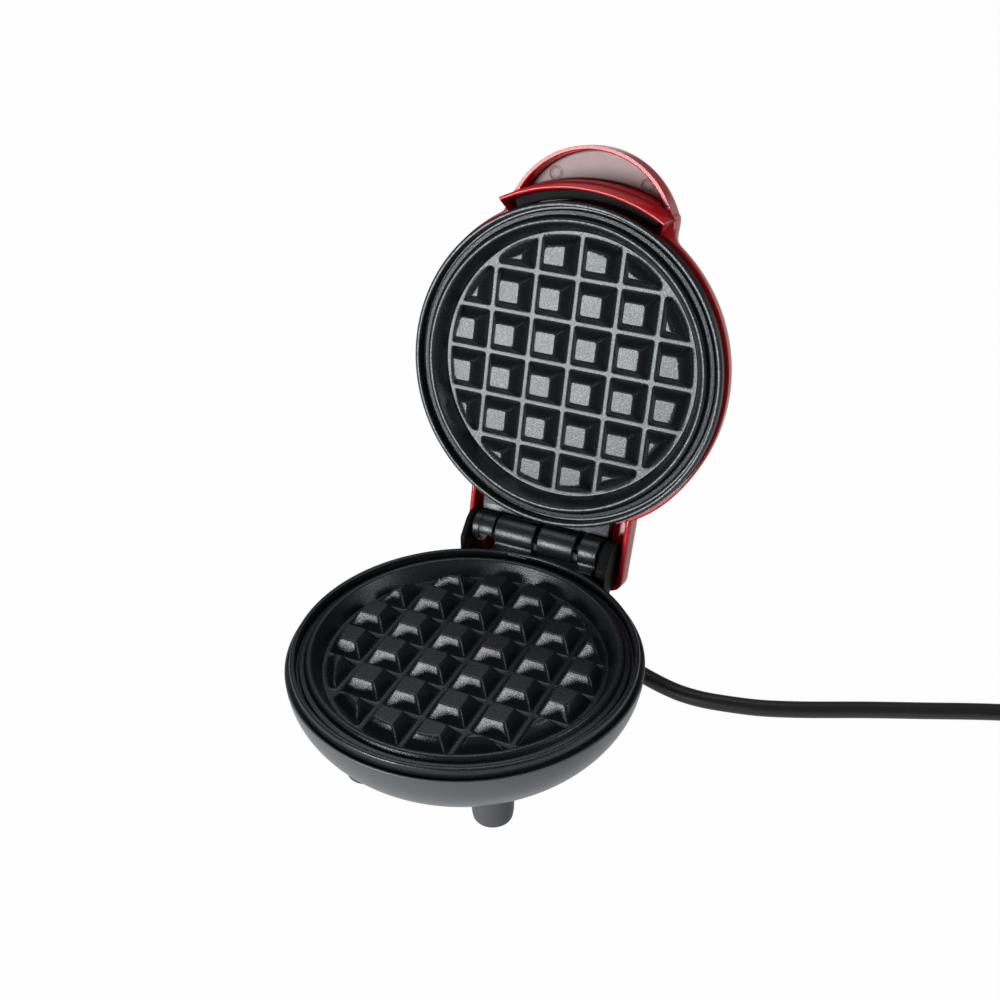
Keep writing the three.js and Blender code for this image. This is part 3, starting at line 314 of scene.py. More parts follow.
def smooth_path(points: Array, samples: int = 8) -> Array:
    """A centripetal Catmull-Rom curve through points.

    Every stretch between two points is a blend of straight lines weighted by knots, whose spacing
    is the square root of the distance.

    Args:
        points: positions as (points, 3).
        samples: curve points a stretch.

    Returns:
        Positions as (curve points, 3).
    """
    least_gap = 1e-6
    ends = np.vstack([2 * points[0] - points[1], points, 2 * points[-1] - points[-2]])
    gap = np.sqrt(np.maximum(np.linalg.norm(np.diff(ends, axis=0), axis=1), least_gap))
    p0, p1, p2, p3 = ends[:-3, None], ends[1:-2, None], ends[2:-1, None], ends[3:, None]
    t1 = gap[:-2, None, None]
    t2 = t1 + gap[1:-1, None, None]
    t3 = t2 + gap[2:, None, None]
    t = t1 + (t2 - t1) * np.linspace(0.0, 1.0, samples, endpoint=False)[None, :, None]
    a1 = (t1 - t) / t1 * p0 + t / t1 * p1
    a2 = (t2 - t) / (t2 - t1) * p1 + (t - t1) / (t2 - t1) * p2
    a3 = (t3 - t) / (t3 - t2) * p2 + (t - t2) / (t3 - t2) * p3
    b1 = (t2 - t) / t2 * a1 + t / t2 * a2
    b2 = (t3 - t) / (t3 - t1) * a2 + (t - t1) / (t3 - t1) * a3
    curve = (t2 - t) / (t2 - t1) * b1 + (t - t1) / (t2 - t1) * b2
    return np.vstack([curve.reshape(-1, 3), points[-1:]])


def tube(path: Array, radius: float, sides: int = 16) -> Skin:
    """A round tube along a path, with sections square to it and closed ends.

    A section's first axis is the path's direction crossed with up. Where the path climbs almost
    straight up, it is crossed with +Y instead.

    Args:
        path: positions as (points, 3).
        radius: the tube's radius.
        sides: points round a section.

    Returns:
        The closed surface.
    """
    steep = 0.05
    along = np.gradient(path, axis=0)
    along /= np.linalg.norm(along, axis=1, keepdims=True)
    side = np.cross(along, [0.0, 0.0, 1.0])
    weak = np.linalg.norm(side, axis=1) < steep
    side[weak] = np.cross(along[weak], [0.0, 1.0, 0.0])
    side /= np.linalg.norm(side, axis=1, keepdims=True)
    rise = np.cross(side, along)
    angle = np.linspace(0.0, TAU, sides, endpoint=False)[None, :, None]
    return capped_skin(path[:, None] + radius * (np.cos(angle) * side[:, None]
                                                 + np.sin(angle) * rise[:, None]))


def soft_min(a: Array, b: Array, width: float) -> Array:
    """The lesser of two arrays, with the crease between them rounded over a width."""
    near = np.maximum(width - np.abs(a - b), 0.0) / width
    return np.minimum(a, b) - near * near * width / 4


def smoothstep(value: Array, low: float, high: float) -> Array:
    """Rises smoothly from 0 at low to 1 at high."""
    share = np.clip((value - low) / (high - low), 0.0, 1.0)
    return share * share * (3 - 2 * share)


# Frame and pieces


@dataclass
class Datum:
    """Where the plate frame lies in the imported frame, in metres."""

    origin: Array

    @classmethod
    def from_foot(cls) -> Datum:
        """Finds the origin from the rear left foot, whose place in the plate frame is known.

        Returns:
            The datum.
        """
        low, high = (np.array(corner, float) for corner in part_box("foot_rear_left"))
        middle = (low + high) / 2
        foot = np.array([-REAR_FOOT[0], REAR_FOOT[1], TABLE]) * MM
        return cls(np.array([middle[0], middle[1], low[2]]) - foot)

    def placed(self, points: Array, body: Body = Body.BASE) -> Array:
        """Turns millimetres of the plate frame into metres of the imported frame.

        Args:
            points: positions as (points, 3); those of the lid are written closed.
            body: the body that the points belong to.

        Returns:
            Positions in metres, with the lid open.
        """
        points = np.asarray(points, float)
        if body is Body.LID:
            back, up = points[..., 1] - HINGE_Y, points[..., 2] - HINGE_Z
            opened = np.array(points)
            opened[..., 1] = HINGE_Y + back * math.cos(OPEN_ANGLE) + up * math.sin(OPEN_ANGLE)
            opened[..., 2] = HINGE_Z - back * math.sin(OPEN_ANGLE) + up * math.cos(OPEN_ANGLE)
            points = opened
        return points * MM + self.origin


@dataclass
class Workshop:
    """Makes finished pieces out of surfaces and dresses the frame's own nodes."""

    datum: Datum
    nodes: dict[str, Any]
    materials: dict[str, Any] = field(default_factory=dict)
    weld_distance: float = 2e-6
    least_edge: float = 1e-7

    def material(self, finish: Any) -> Any:
        """The material of a finish, built once."""
        if finish.slot not in self.materials:
            self.materials[finish.slot] = finish.build()
        return self.materials[finish.slot]

    def closed_mesh(self, name: str, points: Array, faces: Sequence[Array]) -> Any:
        """Puts arrays into a mesh, welds its doubles, closes its holes and turns faces outwards.

        Args:
            name: the mesh's name.
            points: positions in metres.
            faces: arrays of faces of equal corner count.

        Returns:
            The mesh.
        """
        mesh = bpy.data.meshes.new(name)
        flat = np.concatenate([f.ravel() for f in faces])
        totals = np.concatenate([np.full(len(f), f.shape[1]) for f in faces])
        mesh.vertices.add(len(points))
        mesh.vertices.foreach_set("co", points.astype(np.float32).ravel())
        mesh.loops.add(len(flat))
        mesh.loops.foreach_set("vertex_index", flat.astype(np.int32))
        mesh.polygons.add(len(totals))
        mesh.polygons.foreach_set("loop_start", (np.cumsum(totals) - totals).astype(np.int32))
        mesh.update(calc_edges=True)
        work = bmesh.new()
        work.from_mesh(mesh)
        bmesh.ops.remove_doubles(work, verts=work.verts, dist=self.weld_distance)
        bmesh.ops.dissolve_degenerate(work, edges=work.edges, dist=self.least_edge)
        open_edges = [edge for edge in work.edges if edge.is_boundary]
        if open_edges:
            bmesh.ops.holes_fill(work, edges=open_edges, sides=0)
        bmesh.ops.recalc_face_normals(work, faces=work.faces)
        work.to_mesh(mesh)
        work.free()
        return mesh

    def piece(self, name: str, skin: Skin, finish: Any, body: Body, replaced: Sequence[str],
              crease: float = 38.0) -> Any:
        """Builds one piece.

        Args:
            name: the piece's name.
            skin: its surface in millimetres of the plate frame.
            finish: its finish.
            body: the body that it rides on.
            replaced: the nodes that it stands for.
            crease: edges sharper than this many degrees stay sharp.

        Returns:
            The object.
        """
        mesh = self.closed_mesh(name, self.datum.placed(skin.points, body), skin.faces)
        mesh.shade_smooth()
        mesh.set_sharp_from_angle(angle=math.radians(crease))
        mesh.materials.append(self.material(finish))
        piece = bpy.data.objects.new(name, mesh)
        bpy.context.scene.collection.objects.link(piece)
        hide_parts(*replaced)
        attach(piece, body.value)
        LOG.info("%s: %d faces on %s", name, len(mesh.polygons), body.value)
        return piece

    def dress(self, name: str, finish: Any) -> None:
        """Gives one of the frame's own nodes a finish.

        Args:
            name: the node's name.
            finish: its finish.
        """
        node = self.nodes[name]
        node.data.materials.clear()
        node.data.materials.append(self.material(finish))
        LOG.info("%s: %s", name, finish.slot)


# Materials


class Sock:
    """One output socket of a material, with arithmetic that adds Math nodes."""

    def __init__(self, recipe: Recipe, socket: Any) -> None:
        """Keeps the socket and the recipe that it belongs to."""
        self.recipe = recipe
        self.socket = socket

    def _math(self, operation: str, first: Any, second: Any) -> Sock:
        """Adds one Math node on two values or sockets."""
        return self.recipe.node("ShaderNodeMath", {"operation": operation}, {0: first, 1: second})

    def __add__(self, other: Any) -> Sock:
        """Sum."""
        return self._math("ADD", self, other)

    __radd__ = __add__

    def __sub__(self, other: Any) -> Sock:
        """Difference."""
        return self._math("SUBTRACT", self, other)

    def __rsub__(self, other: Any) -> Sock:
        """Difference from a number."""
        return self._math("SUBTRACT", other, self)

    def __mul__(self, other: Any) -> Sock:
        """Product."""
        return self._math("MULTIPLY", self, other)

    __rmul__ = __mul__

    def __gt__(self, other: Any) -> Sock:
        """1 where this is greater."""
        return self._math("GREATER_THAN", self, other)


class Recipe:
    """The node tree of one material."""

    def __init__(self, name: str) -> None:
        """Makes an empty material with a Principled shader and a coordinate node.

        Args:
            name: the material's name.
        """
        self.data = bpy.data.materials.new(name)
        self.data.use_nodes = True
        self.tree = self.data.node_tree
        self.tree.nodes.clear()
        self.shader = self.tree.nodes.new("ShaderNodeBsdfPrincipled")
        self.output = self.tree.nodes.new("ShaderNodeOutputMaterial")
        self.tree.links.new(self.shader.outputs[0], self.output.inputs["Surface"])
        self.where = self.node("ShaderNodeTexCoord", out="Object")

    def node(self, kind: str, settings: dict[str, Any] | None = None,
             inputs: dict[Any, Any] | None = None, out: Any = 0) -> Sock:
        """Adds one node.

        Args:
            kind: the node's type.
            settings: its properties.
            inputs: values or sockets for its inputs, by name or number.
            out: the output that is wanted.

        Returns:
            That output.
        """
        made = self.tree.nodes.new(kind)
        for key, value in (settings or {}).items():
            setattr(made, key, value)
        for key, value in (inputs or {}).items():
            self.feed(made.inputs[key], value)
        return Sock(self, made.outputs[out])

    def feed(self, target: Any, value: Any) -> None:
        """Sets an input socket.

        Args:
            target: the input.
            value: a number, a colour or another socket.
        """
        if isinstance(value, Sock):
            self.tree.links.new(value.socket, target)
        elif isinstance(value, (tuple, list)) and target.type == "RGBA":
            target.default_value = (*value[:3], 1.0)
        else:
            target.default_value = value

    def noise(self, scale: float, detail: float = 3.0, stretch: Triple = (1.0, 1.0, 1.0)) -> Sock:
        """Cloudy noise from 0 to 1 with a scale in cells a metre."""
        place = self.node("ShaderNodeMapping", {"vector_type": "POINT"},
                          {"Vector": self.where, "Scale": stretch})
        return self.node("ShaderNodeTexNoise", {}, {"Vector": place, "Scale": scale, "Detail": detail})

    def cells(self, scale: float) -> Sock:
        """Distance to the middle of scattered cells, with a scale in cells a metre."""
        return self.node("ShaderNodeTexVoronoi", {}, {"Vector": self.where, "Scale": scale}, "Distance")

    def blend(self, share: Any, first: Any, second: Any) -> Sock:
        """Mixes two colours by a share."""
        return self.node("ShaderNodeMix", {"data_type": "RGBA"}, {0: share, 6: first, 7: second}, 2)

    def bump(self, height: Sock, depth: float, strength: float) -> None:
        """Feeds a height, with its depth in millimetres, to the normal through a Bump node."""
        made = self.node("ShaderNodeBump", {},
                         {"Height": height, "Distance": depth * MM, "Strength": strength})
        self.feed(self.shader.inputs["Normal"], made)

    def shade(self, **values: Any) -> None:
        """Sets the shader's sockets, named in lower case with underscores."""
        for key, value in values.items():
            self.feed(self.shader.inputs[key.replace("_", " ").title().replace("Ior", "IOR")], value)


def toned(colour: Triple, factor: float) -> Triple:
    """A colour made darker or lighter by a factor."""
    return tuple(min(1.0, c * factor) for c in colour)


@dataclass(frozen=True)
class Moulded:
    """Moulded plastic or rubber: a colour that drifts slightly, a grain and handling marks.

    Scales are in cells a metre and depths in millimetres.
    """

    slot: str
    colour: Triple
    roughness: float = 0.4
    grain: Grain = Grain.SPARK
    grain_depth: float = 0.03
    grain_scale: float = 3200.0
    plain_depth: float = 0.04
    plain_scale: float = 220.0
    drift: float = 0.12
    drift_scale: float = 28.0
    drift_gloss: float = 0.04
    marks_scale: float = 160.0
    marks_stretch: Triple = (1.0, 0.35, 1.0)
    marks_share: float = 0.22
    sheen: float = 0.0
    specular: float = 0.5

    def build(self) -> Any:
        """Returns the material."""
        recipe = Recipe(self.slot)
        drift = recipe.noise(self.drift_scale, 4.0)
        marks = recipe.noise(self.marks_scale, 6.0, self.marks_stretch)
        gloss = (marks - 0.5) * (self.marks_share * self.roughness) + (drift - 0.5) * self.drift_gloss
        recipe.shade(base_color=recipe.blend(drift, toned(self.colour, 1 - self.drift),
                                             toned(self.colour, 1 + self.drift)),
                     roughness=self.roughness + gloss, specular_ior_level=self.specular,
                     sheen_weight=self.sheen)
        if self.grain is Grain.PLAIN:
            recipe.bump(recipe.noise(self.plain_scale, 2.0), self.plain_depth, 0.25)
        else:
            recipe.bump(recipe.noise(self.grain_scale), self.grain_depth, 0.5)
        return recipe.data


@dataclass(frozen=True)
class NonStick:
    """Dark non-stick coating on cast aluminium: a pebbled film with pale flecks.

    A fleck is the middle of a scattered cell, in those parts where a coarser noise is high.
    """

    slot: str = "plate_coating"
    colour: Triple = (0.008, 0.0098, 0.012)
    tint: Triple = (0.9, 0.96, 1.0)
    specular: float = 0.6
    roughness: float = 0.31
    cloud_scale: float = 60.0
    cloud_tones: tuple[float, float] = (0.8, 1.3)
    cloud_gloss: float = 0.06
    pebble_scale: float = 2100.0
    pebble_gloss: float = 0.34
    pebble_depth: float = 0.1
    pebble_strength: float = 0.6
    fleck: Triple = (0.075, 0.08, 0.083)
    fleck_scale: float = 1500.0
    fleck_size: float = 0.16
    fleck_share: float = 0.85
    fleck_height: float = 0.3
    chosen_scale: float = 700.0
    chosen_level: float = 0.56

    def build(self) -> Any:
        """Returns the material."""
        recipe = Recipe(self.slot)
        pebbles = recipe.noise(self.pebble_scale)
        cloud = recipe.noise(self.cloud_scale, 4.0)
        specks = recipe.cells(self.fleck_scale)
        chosen = recipe.noise(self.chosen_scale, 2.0) > self.chosen_level
        fleck = (self.fleck_size - specks > 0.0) * chosen * self.fleck_share
        body = recipe.blend(cloud, *(toned(self.colour, tone) for tone in self.cloud_tones))
        gloss = (pebbles - 0.5) * self.pebble_gloss + (cloud - 0.5) * self.cloud_gloss
        recipe.shade(base_color=recipe.blend(fleck, body, self.fleck), roughness=self.roughness + gloss,
                     specular_ior_level=self.specular, specular_tint=self.tint)
        recipe.bump(pebbles + specks * self.fleck_height, self.pebble_depth, self.pebble_strength)
        return recipe.data


@dataclass(frozen=True)
class Metal:
    """Bare metal with fine lines or a dull oxide, which lies where a coarse noise is high."""

    slot: str
    colour: Triple
    roughness: float = 0.3
    grain: Grain = Grain.BRUSHED
    line_scale: float = 2400.0
    line_stretch: float = 0.06
    line_gloss: float = 0.2
    line_depth: float = 0.01
    oxide: Triple = (0.05, 0.045, 0.04)
    oxide_share: float = 0.15
    oxide_scale: float = 90.0
    oxide_levels: tuple[float, float] = (0.45, 0.75)
    oxide_gloss: float = 0.4

    def build(self) -> Any:
        """Returns the material."""
        recipe = Recipe(self.slot)
        stretch = (self.line_stretch if self.grain is Grain.BRUSHED else 1.0, 1.0, 1.0)
        lines = recipe.noise(self.line_scale, 3.0, stretch)
        stain = recipe.noise(self.oxide_scale, 5.0)
        low, high = self.oxide_levels
        share = recipe.node("ShaderNodeMapRange", {}, {"Value": stain, "From Min": low, "From Max": high,
                                                       "To Min": 0.0, "To Max": self.oxide_share})
        gloss = (lines - 0.5) * self.line_gloss + share * self.oxide_gloss
        recipe.shade(base_color=recipe.blend(share, self.colour, self.oxide),
                     roughness=self.roughness + gloss, metallic=1.0 - share * 0.5)
        recipe.bump(lines, self.line_depth, 0.4)
        return recipe.data


@dataclass(frozen=True)
class Clear:
    """Tinted clear plastic or glass with faint swirls."""

    slot: str
    colour: Triple
    transmission: float = 0.55
    roughness: float = 0.08
    refraction: float = 1.49
    swirl_scale: float = 240.0
    swirl_tone: float = 0.8
    swirl_gloss: float = 0.04
    swirl_depth: float = 0.03

    def build(self) -> Any:
        """Returns the material."""
        recipe = Recipe(self.slot)
        swirl = recipe.noise(self.swirl_scale)
        recipe.shade(base_color=recipe.blend(swirl, toned(self.colour, self.swirl_tone), self.colour),
                     roughness=self.roughness + swirl * self.swirl_gloss,
                     transmission_weight=self.transmission, ior=self.refraction)
        recipe.bump(swirl, self.swirl_depth, 0.15)
        return recipe.data


COATING = NonStick()
RED = Moulded("lid_red", (0.56, 0.013, 0.02), 0.16, Grain.PLAIN, drift=0.03, specular=0.3)
GREY = Moulded("housing_grey", (0.074, 0.088, 0.098), 0.3, grain_depth=0.015, drift=0.05, specular=0.8)
# Pale pinkish grey of the tab's panel: painted reflection of white light on glossy red plastic.
PANEL_PAINTED_REFLECTION = Moulded("panel_pale", (0.37, 0.27, 0.275), 0.42, grain_depth=0.02, drift=0.04)
BLACK = Moulded("black_plastic", (0.004, 0.004, 0.0045), 0.6, specular=0.15)
FOOT = Moulded("foot_rubber", (0.08, 0.09, 0.096), 0.58, grain_depth=0.04, drift=0.08, sheen=0.1)
CORD = Moulded("cord_black", (0.008, 0.008, 0.009), 0.42, drift=0.2, sheen=0.05)
SLEEVE = Moulded("wire_sleeve", (0.42, 0.39, 0.33), 0.75, grain_depth=0.08, drift=0.2)
CERAMIC = Moulded("ceramic", (0.72, 0.68, 0.6), 0.62, grain_depth=0.04, drift=0.06)
STEEL = Metal("pin_steel", (0.5, 0.5, 0.51))
ELEMENT = Metal("element_steel", (0.16, 0.155, 0.15), 0.45, Grain.PLAIN, oxide_share=0.6)
SHEET = Metal("shield_aluminium", (0.62, 0.63, 0.64), 0.42)
BRASS = Metal("blade_brass", (0.66, 0.5, 0.22), 0.25, oxide_share=0.08)
AMBER = Clear("lens_amber", (0.85, 0.33, 0.05))
GLASS = Clear("lamp_glass", (0.9, 0.62, 0.42), 0.7)


# Camera, light and floor


@dataclass(frozen=True)
class Softbox:
    """One square lamp that looks from a place to a target, in metres and watts."""

    name: str
    place: Triple
    target: Triple
    size: float
    power: float

    def build(self) -> None:
        """Adds the lamp."""
        data = bpy.data.lights.new(self.name, "AREA")
        data.shape, data.size, data.energy = "SQUARE", self.size, self.power
        lamp = bpy.data.objects.new(self.name, data)
        aim = (Vector(self.target) - Vector(self.place)).to_track_quat("-Z", "Y")
        lamp.matrix_world = Matrix.Translation(Vector(self.place)) @ aim.to_matrix().to_4x4()
        bpy.context.scene.collection.objects.link(lamp)


@dataclass
class Studio:
    """Camera at the photograph's place, a white sweep and soft lamps.

    The camera's place is in the plate frame. Its angles are in degrees: pan turns it from +Y to
    the left, tilt takes it down, and roll turns it about its own line of sight.
    """

    camera_place: Triple = (169.59, -324.59, 299.32)
    pan: float = 25.48
    tilt: float = 31.738
    roll: float = -0.749
    lens: float = 49.35
    sensor: float = 36.0
    shift: tuple[float, float] = (-0.0023, -0.0205)
    clip: tuple[float, float] = (0.01, 20.0)
    floor_half: float = 3.0
    floor_whites: tuple[Triple, Triple] = ((0.84, 0.84, 0.84), (0.86, 0.86, 0.86))
    floor_cloud: float = 3.0
    floor_roughness: float = 0.9
    glow_seen: float = 0.985
    glow_mirrored: float = 0.6
    world_fill: float = 0.13
    lamps: tuple[Softbox, ...] = (
        Softbox("front_left_softbox", (-0.52, -1.3, 0.2), (0.0, 0.03, 0.1), 0.56, 19.0),
        Softbox("top_softbox", (-0.35, 0.35, 1.25), (0.0, 0.0, 0.05), 0.9, 4.0),
        Softbox("right_softbox", (1.15, 0.1, 0.6), (0.0, 0.02, 0.06), 0.4, 2.0))

    def camera(self, datum: Datum) -> None:
        """Places the camera and makes it the scene's own.

        Args:
            datum: where the plate frame lies.
        """
        data = bpy.data.cameras.new("studio_camera")
        data.sensor_fit, data.sensor_width, data.lens = "AUTO", self.sensor, self.lens
        data.shift_x, data.shift_y = self.shift
        data.clip_start, data.clip_end = self.clip
        camera = bpy.data.objects.new("studio_camera", data)
        turn = (Matrix.Rotation(math.radians(self.pan), 4, "Z")
                @ Matrix.Rotation(math.radians(90.0 - self.tilt), 4, "X")
                @ Matrix.Rotation(math.radians(self.roll), 4, "Z"))
        place = datum.placed(np.array([self.camera_place]))[0]
        camera.matrix_world = Matrix.Translation(Vector(place.tolist())) @ turn
        bpy.context.scene.collection.objects.link(camera)
        bpy.context.scene.camera = camera

    def floor(self, datum: Datum) -> None:
        """A white floor that keeps a faint shadow.

        To the camera and in mirrored light it mostly glows white; other rays meet its own surface.

        Args:
            datum: where the plate frame lies.
        """
        level = float(datum.placed(np.array([[0.0, 0.0, TABLE]]))[0, 2])
        half = self.floor_half
        corners = [(-half, -half, level), (half, -half, level), (half, half, level), (-half, half, level)]
        mesh = bpy.data.meshes.new("floor")
        mesh.from_pydata(corners, [], [(0, 1, 2, 3)])
        recipe = Recipe("floor_white")
        recipe.shade(base_color=recipe.blend(recipe.noise(self.floor_cloud), *self.floor_whites),
                     roughness=self.floor_roughness)
        path = recipe.tree.nodes.new("ShaderNodeLightPath")
        camera, glossy, clear = (Sock(recipe, path.outputs[n]) for n in
                                 ("Is Camera Ray", "Is Glossy Ray", "Is Transmission Ray"))
        glow = recipe.node("ShaderNodeEmission", {}, {"Color": (1.0, 1.0, 1.0), "Strength": 1.0})
        share = camera * self.glow_seen + glossy * self.glow_mirrored + clear * self.glow_mirrored
        surface = Sock(recipe, recipe.shader.outputs[0])
        mixed = recipe.node("ShaderNodeMixShader", {}, {0: share, 1: surface, 2: glow})
        recipe.tree.links.new(mixed.socket, recipe.output.inputs["Surface"])
        mesh.materials.append(recipe.data)
        floor = bpy.data.objects.new("floor", mesh)
        bpy.context.scene.collection.objects.link(floor)

    def world(self) -> None:
        """White behind the object and a plain grey fill for its surfaces."""
        world = bpy.data.worlds.new("studio_world")
        world.use_nodes = True
        tree = world.node_tree
        tree.nodes.clear()
        path = tree.nodes.new("ShaderNodeLightPath")
        mix, output = tree.nodes.new("ShaderNodeMixShader"), tree.nodes.new("ShaderNodeOutputWorld")
        tree.links.new(path.outputs["Is Camera Ray"], mix.inputs[0])
        for number, strength in ((1, self.world_fill), (2, 1.0)):
            background = tree.nodes.new("ShaderNodeBackground")
            background.inputs["Color"].default_value = (1.0, 1.0, 1.0, 1.0)
            background.inputs["Strength"].default_value = strength
            tree.links.new(background.outputs[0], mix.inputs[number])
        tree.links.new(mix.outputs[0], output.inputs["Surface"])
        bpy.context.scene.world = world

    def build(self, datum: Datum) -> None:
        """Sets the lamps, the floor and the world.

        Args:
            datum: where the plate frame lies.
        """
        for lamp in self.lamps:
            lamp.build()
        self.floor(datum)
        self.world()
        bpy.context.scene.view_settings.view_transform = "Standard"


# Mains cord


@dataclass
class MainsCord:
    """The lead from the strain relief along the table into a tied coil, and its plug.

    The route's points are listed, with their height above a lead that rests on the table.
    A plug section is its distance from the plug's front and its shares of the plug's width and
    height.
    """

    radius: float = 3.0
    table_gap: float = 0.08
    clearance: float = 0.3
    length_m: float = 0.73
    relief_start: Triple = (21.7, 55.6, -24.0)
    relief_way: Triple = (1.0, -0.19, -0.17)
    relief_flange: float = 2.0
    relief_length: float = 20.5
    relief_plug: float = 3.6
    relief_plug_radius: float = 4.2
    relief_flange_radius: float = 5.5
    relief_root: float = 4.65
    relief_tip: float = 3.8
    relief_bore: float = 3.15
    rib_count: int = 6
    rib_first: float = 2.2
    rib_last: float = 2.6
    rib_radius: float = 4.6
    rib_taper: float = 0.8
    rib_depth: float = 0.65
    coil_centre: tuple[float, float] = (220.0, 58.0)
    coil_radius: float = 37.6
    coil_step: float = 6.8
    coil_turns: float = 2.25
    climb_turns: float = 0.5
    steps_per_turn: int = 24
    tail_fall: tuple[float, ...] = (17.0, 34.0, 48.0)
    tail_lift: tuple[float, float] = (0.5, 1.0)
    tie_turn: float = 0.75
    tie_lift: float = 1.2
    tie_width: float = 6.0
    tie_thickness: float = 0.7
    tie_bend: float = 3.0
    plug_place: Triple = (257.6, -10.0, -27.4)
    plug_size: Triple = (24.0, 30.0, 13.9)
    plug_lift: float = 0.02
    plug_powers: tuple[tuple[float, ...], tuple[float, ...]] = ((0.0, 16.0, 24.0, 30.0),
                                                                (0.5, 0.5, 0.8, 1.0))
    plug_section_shares: tuple[Triple, ...] = (
        (0.0, 0.9, 0.86), (0.15, 0.96, 0.94), (0.6, 0.99, 0.985), (1.2, 1.0, 1.0), (6.0, 1.0, 1.0),
        (12.0, 0.995, 1.0), (16.0, 0.96, 0.99), (18.5, 0.86, 0.94), (20.5, 0.7, 0.86), (22.0, 0.58, 0.78),
        (22.4, 0.5, 0.74), (22.8, 0.46, 0.68), (23.4, 0.46, 0.68), (24.2, 0.5, 0.74), (24.6, 0.5, 0.74),
        (25.0, 0.44, 0.66), (25.6, 0.44, 0.66), (26.4, 0.47, 0.7), (26.8, 0.47, 0.7), (27.2, 0.42, 0.62),
        (27.8, 0.42, 0.62), (28.6, 0.44, 0.66), (29.2, 0.44, 0.66), (29.8, 0.4, 0.6), (30.0, 0.34, 0.5))
    blade: Triple = (1.5, 16.0, 6.3)
    blade_spacing: float = 12.7
    blade_root: float = 9.7
    blade_corner: float = 1.6
    blade_hole: float = 1.45
    blade_hole_place: float = 3.4
    route: tuple[Triple, ...] = (
        (56.4, 50.1, 0.9), (62.4, 49.8, 0.2), (70.0, 50.0, 0.0), (80.0, 51.6, 0.0), (90.7, 54.2, 0.0),
        (102.0, 58.4, 0.0), (113.0, 63.2, 0.0), (123.6, 68.0, 0.0), (135.0, 72.9, 0.0), (146.4, 77.7, 0.0),
        (158.0, 82.7, 0.0), (169.2, 87.2, 0.0), (180.0, 90.9, 0.0), (192.0, 93.8, 0.0), (202.0, 95.1, 0.0))

    def rest(self) -> float:
        """Height of the lead's middle where it lies on the table."""
        return TABLE + self.radius + self.table_gap

    def way(self) -> Array:
        """Unit direction in which the lead leaves the base."""
        return np.array(self.relief_way) / np.linalg.norm(self.relief_way)

    def exit(self) -> Array:
        """Where the lead leaves the strain relief."""
        return (np.array(self.relief_start)
                + self.way() * (self.relief_flange + self.relief_length + self.clearance))

    def coil(self) -> Array:
        """Points of the coil: a spiral that winds in on the table, climbs a diameter and winds out.

        The radius falls by a step a turn to the middle and rises again, the height rises by a step
        over half a turn about the middle, and both layers lift slightly in the tie.

        Returns:
            Positions as (points, 3).
        """
        turn = np.linspace(0.0, self.coil_turns, round(self.coil_turns * self.steps_per_turn) + 1)
        radius = self.coil_radius - self.coil_step * np.minimum(turn, self.coil_turns - turn)
        middle = self.coil_turns / 2
        climb = smoothstep(turn, middle - self.climb_turns / 2, middle + self.climb_turns / 2)
        angle = math.pi / 2 - TAU * turn
        lift = np.maximum(0.0, np.cos(TAU * (turn - self.tie_turn))) ** 8
        lift[0] = 0.0
        height = self.rest() + self.coil_step * climb + self.tie_lift * lift
        return np.stack([self.coil_centre[0] + radius * np.cos(angle),
                         self.coil_centre[1] + radius * np.sin(angle), height], axis=-1)

    def centreline(self) -> Array:
        """The whole route as one smooth curve.

        It leaves the relief straight, follows the listed points, runs level into the coil,
        and falls from the coil's upper layer to the table and the plug.

        Returns:
            Positions as (points, 3), in millimetres.
        """
        start, run, rest = self.exit(), 2 * self.radius, self.rest()
        laid = np.array(self.route)
        laid[:, 2] += rest
        coil = self.coil()
        entry, leave = coil[0] - [run, 0.0, 0.0], coil[-1] - [0.0, run, 0.0]
        arrive = entry - [run + self.clearance, 0.0, 0.0]
        end = np.array(self.plug_place) + [0.0, self.clearance, 0.0]
        heights = (leave[2], (leave[2] + rest) / 2, rest + self.tail_lift[0], rest + self.tail_lift[1])
        tail = [[leave[0], leave[1] - self.clearance - back, height]
                for back, height in zip((run, *self.tail_fall), heights)]
        return smooth_path(np.vstack([[start, start + self.way() * run], laid, [arrive, entry], coil,
                                      [leave], tail, [end + [0.0, run, 0.0], end]]))

    def tie(self) -> Skin:
        """A flat band round both layers: a rounded rectangle carried along the lead.

        Returns:
            The surface.
        """
        near = self.coil_radius - self.coil_step * self.tie_turn
        far = self.coil_radius - self.coil_step * (self.coil_turns - self.tie_turn - 1)
        room = self.radius + 2 * self.clearance
        left, right = self.coil_centre[0] - far - room, self.coil_centre[0] - near + room
        low = self.rest() + self.tie_lift - room + self.clearance
        high = self.rest() + self.coil_step + self.tie_lift + room
        half, thick = self.tie_width / 2, self.tie_thickness
        rings = []
        for grow, level in ((0.0, -half), (0.0, half), (thick, half), (thick, -half)):
            a, b, c, d, bend = left - grow, right + grow, low - grow, high + grow, self.tie_bend + grow
            loop = rounded_outline([(a, c, bend), (b, c, bend), (b, d, bend), (a, d, bend)], 8)
            along = np.full(len(loop), self.coil_centre[1] + level)
            rings.append(np.stack([loop[:, 0], along, loop[:, 1]], -1))
        return grid_skin(np.array(rings), wrap_rows=True, wrap_columns=True)

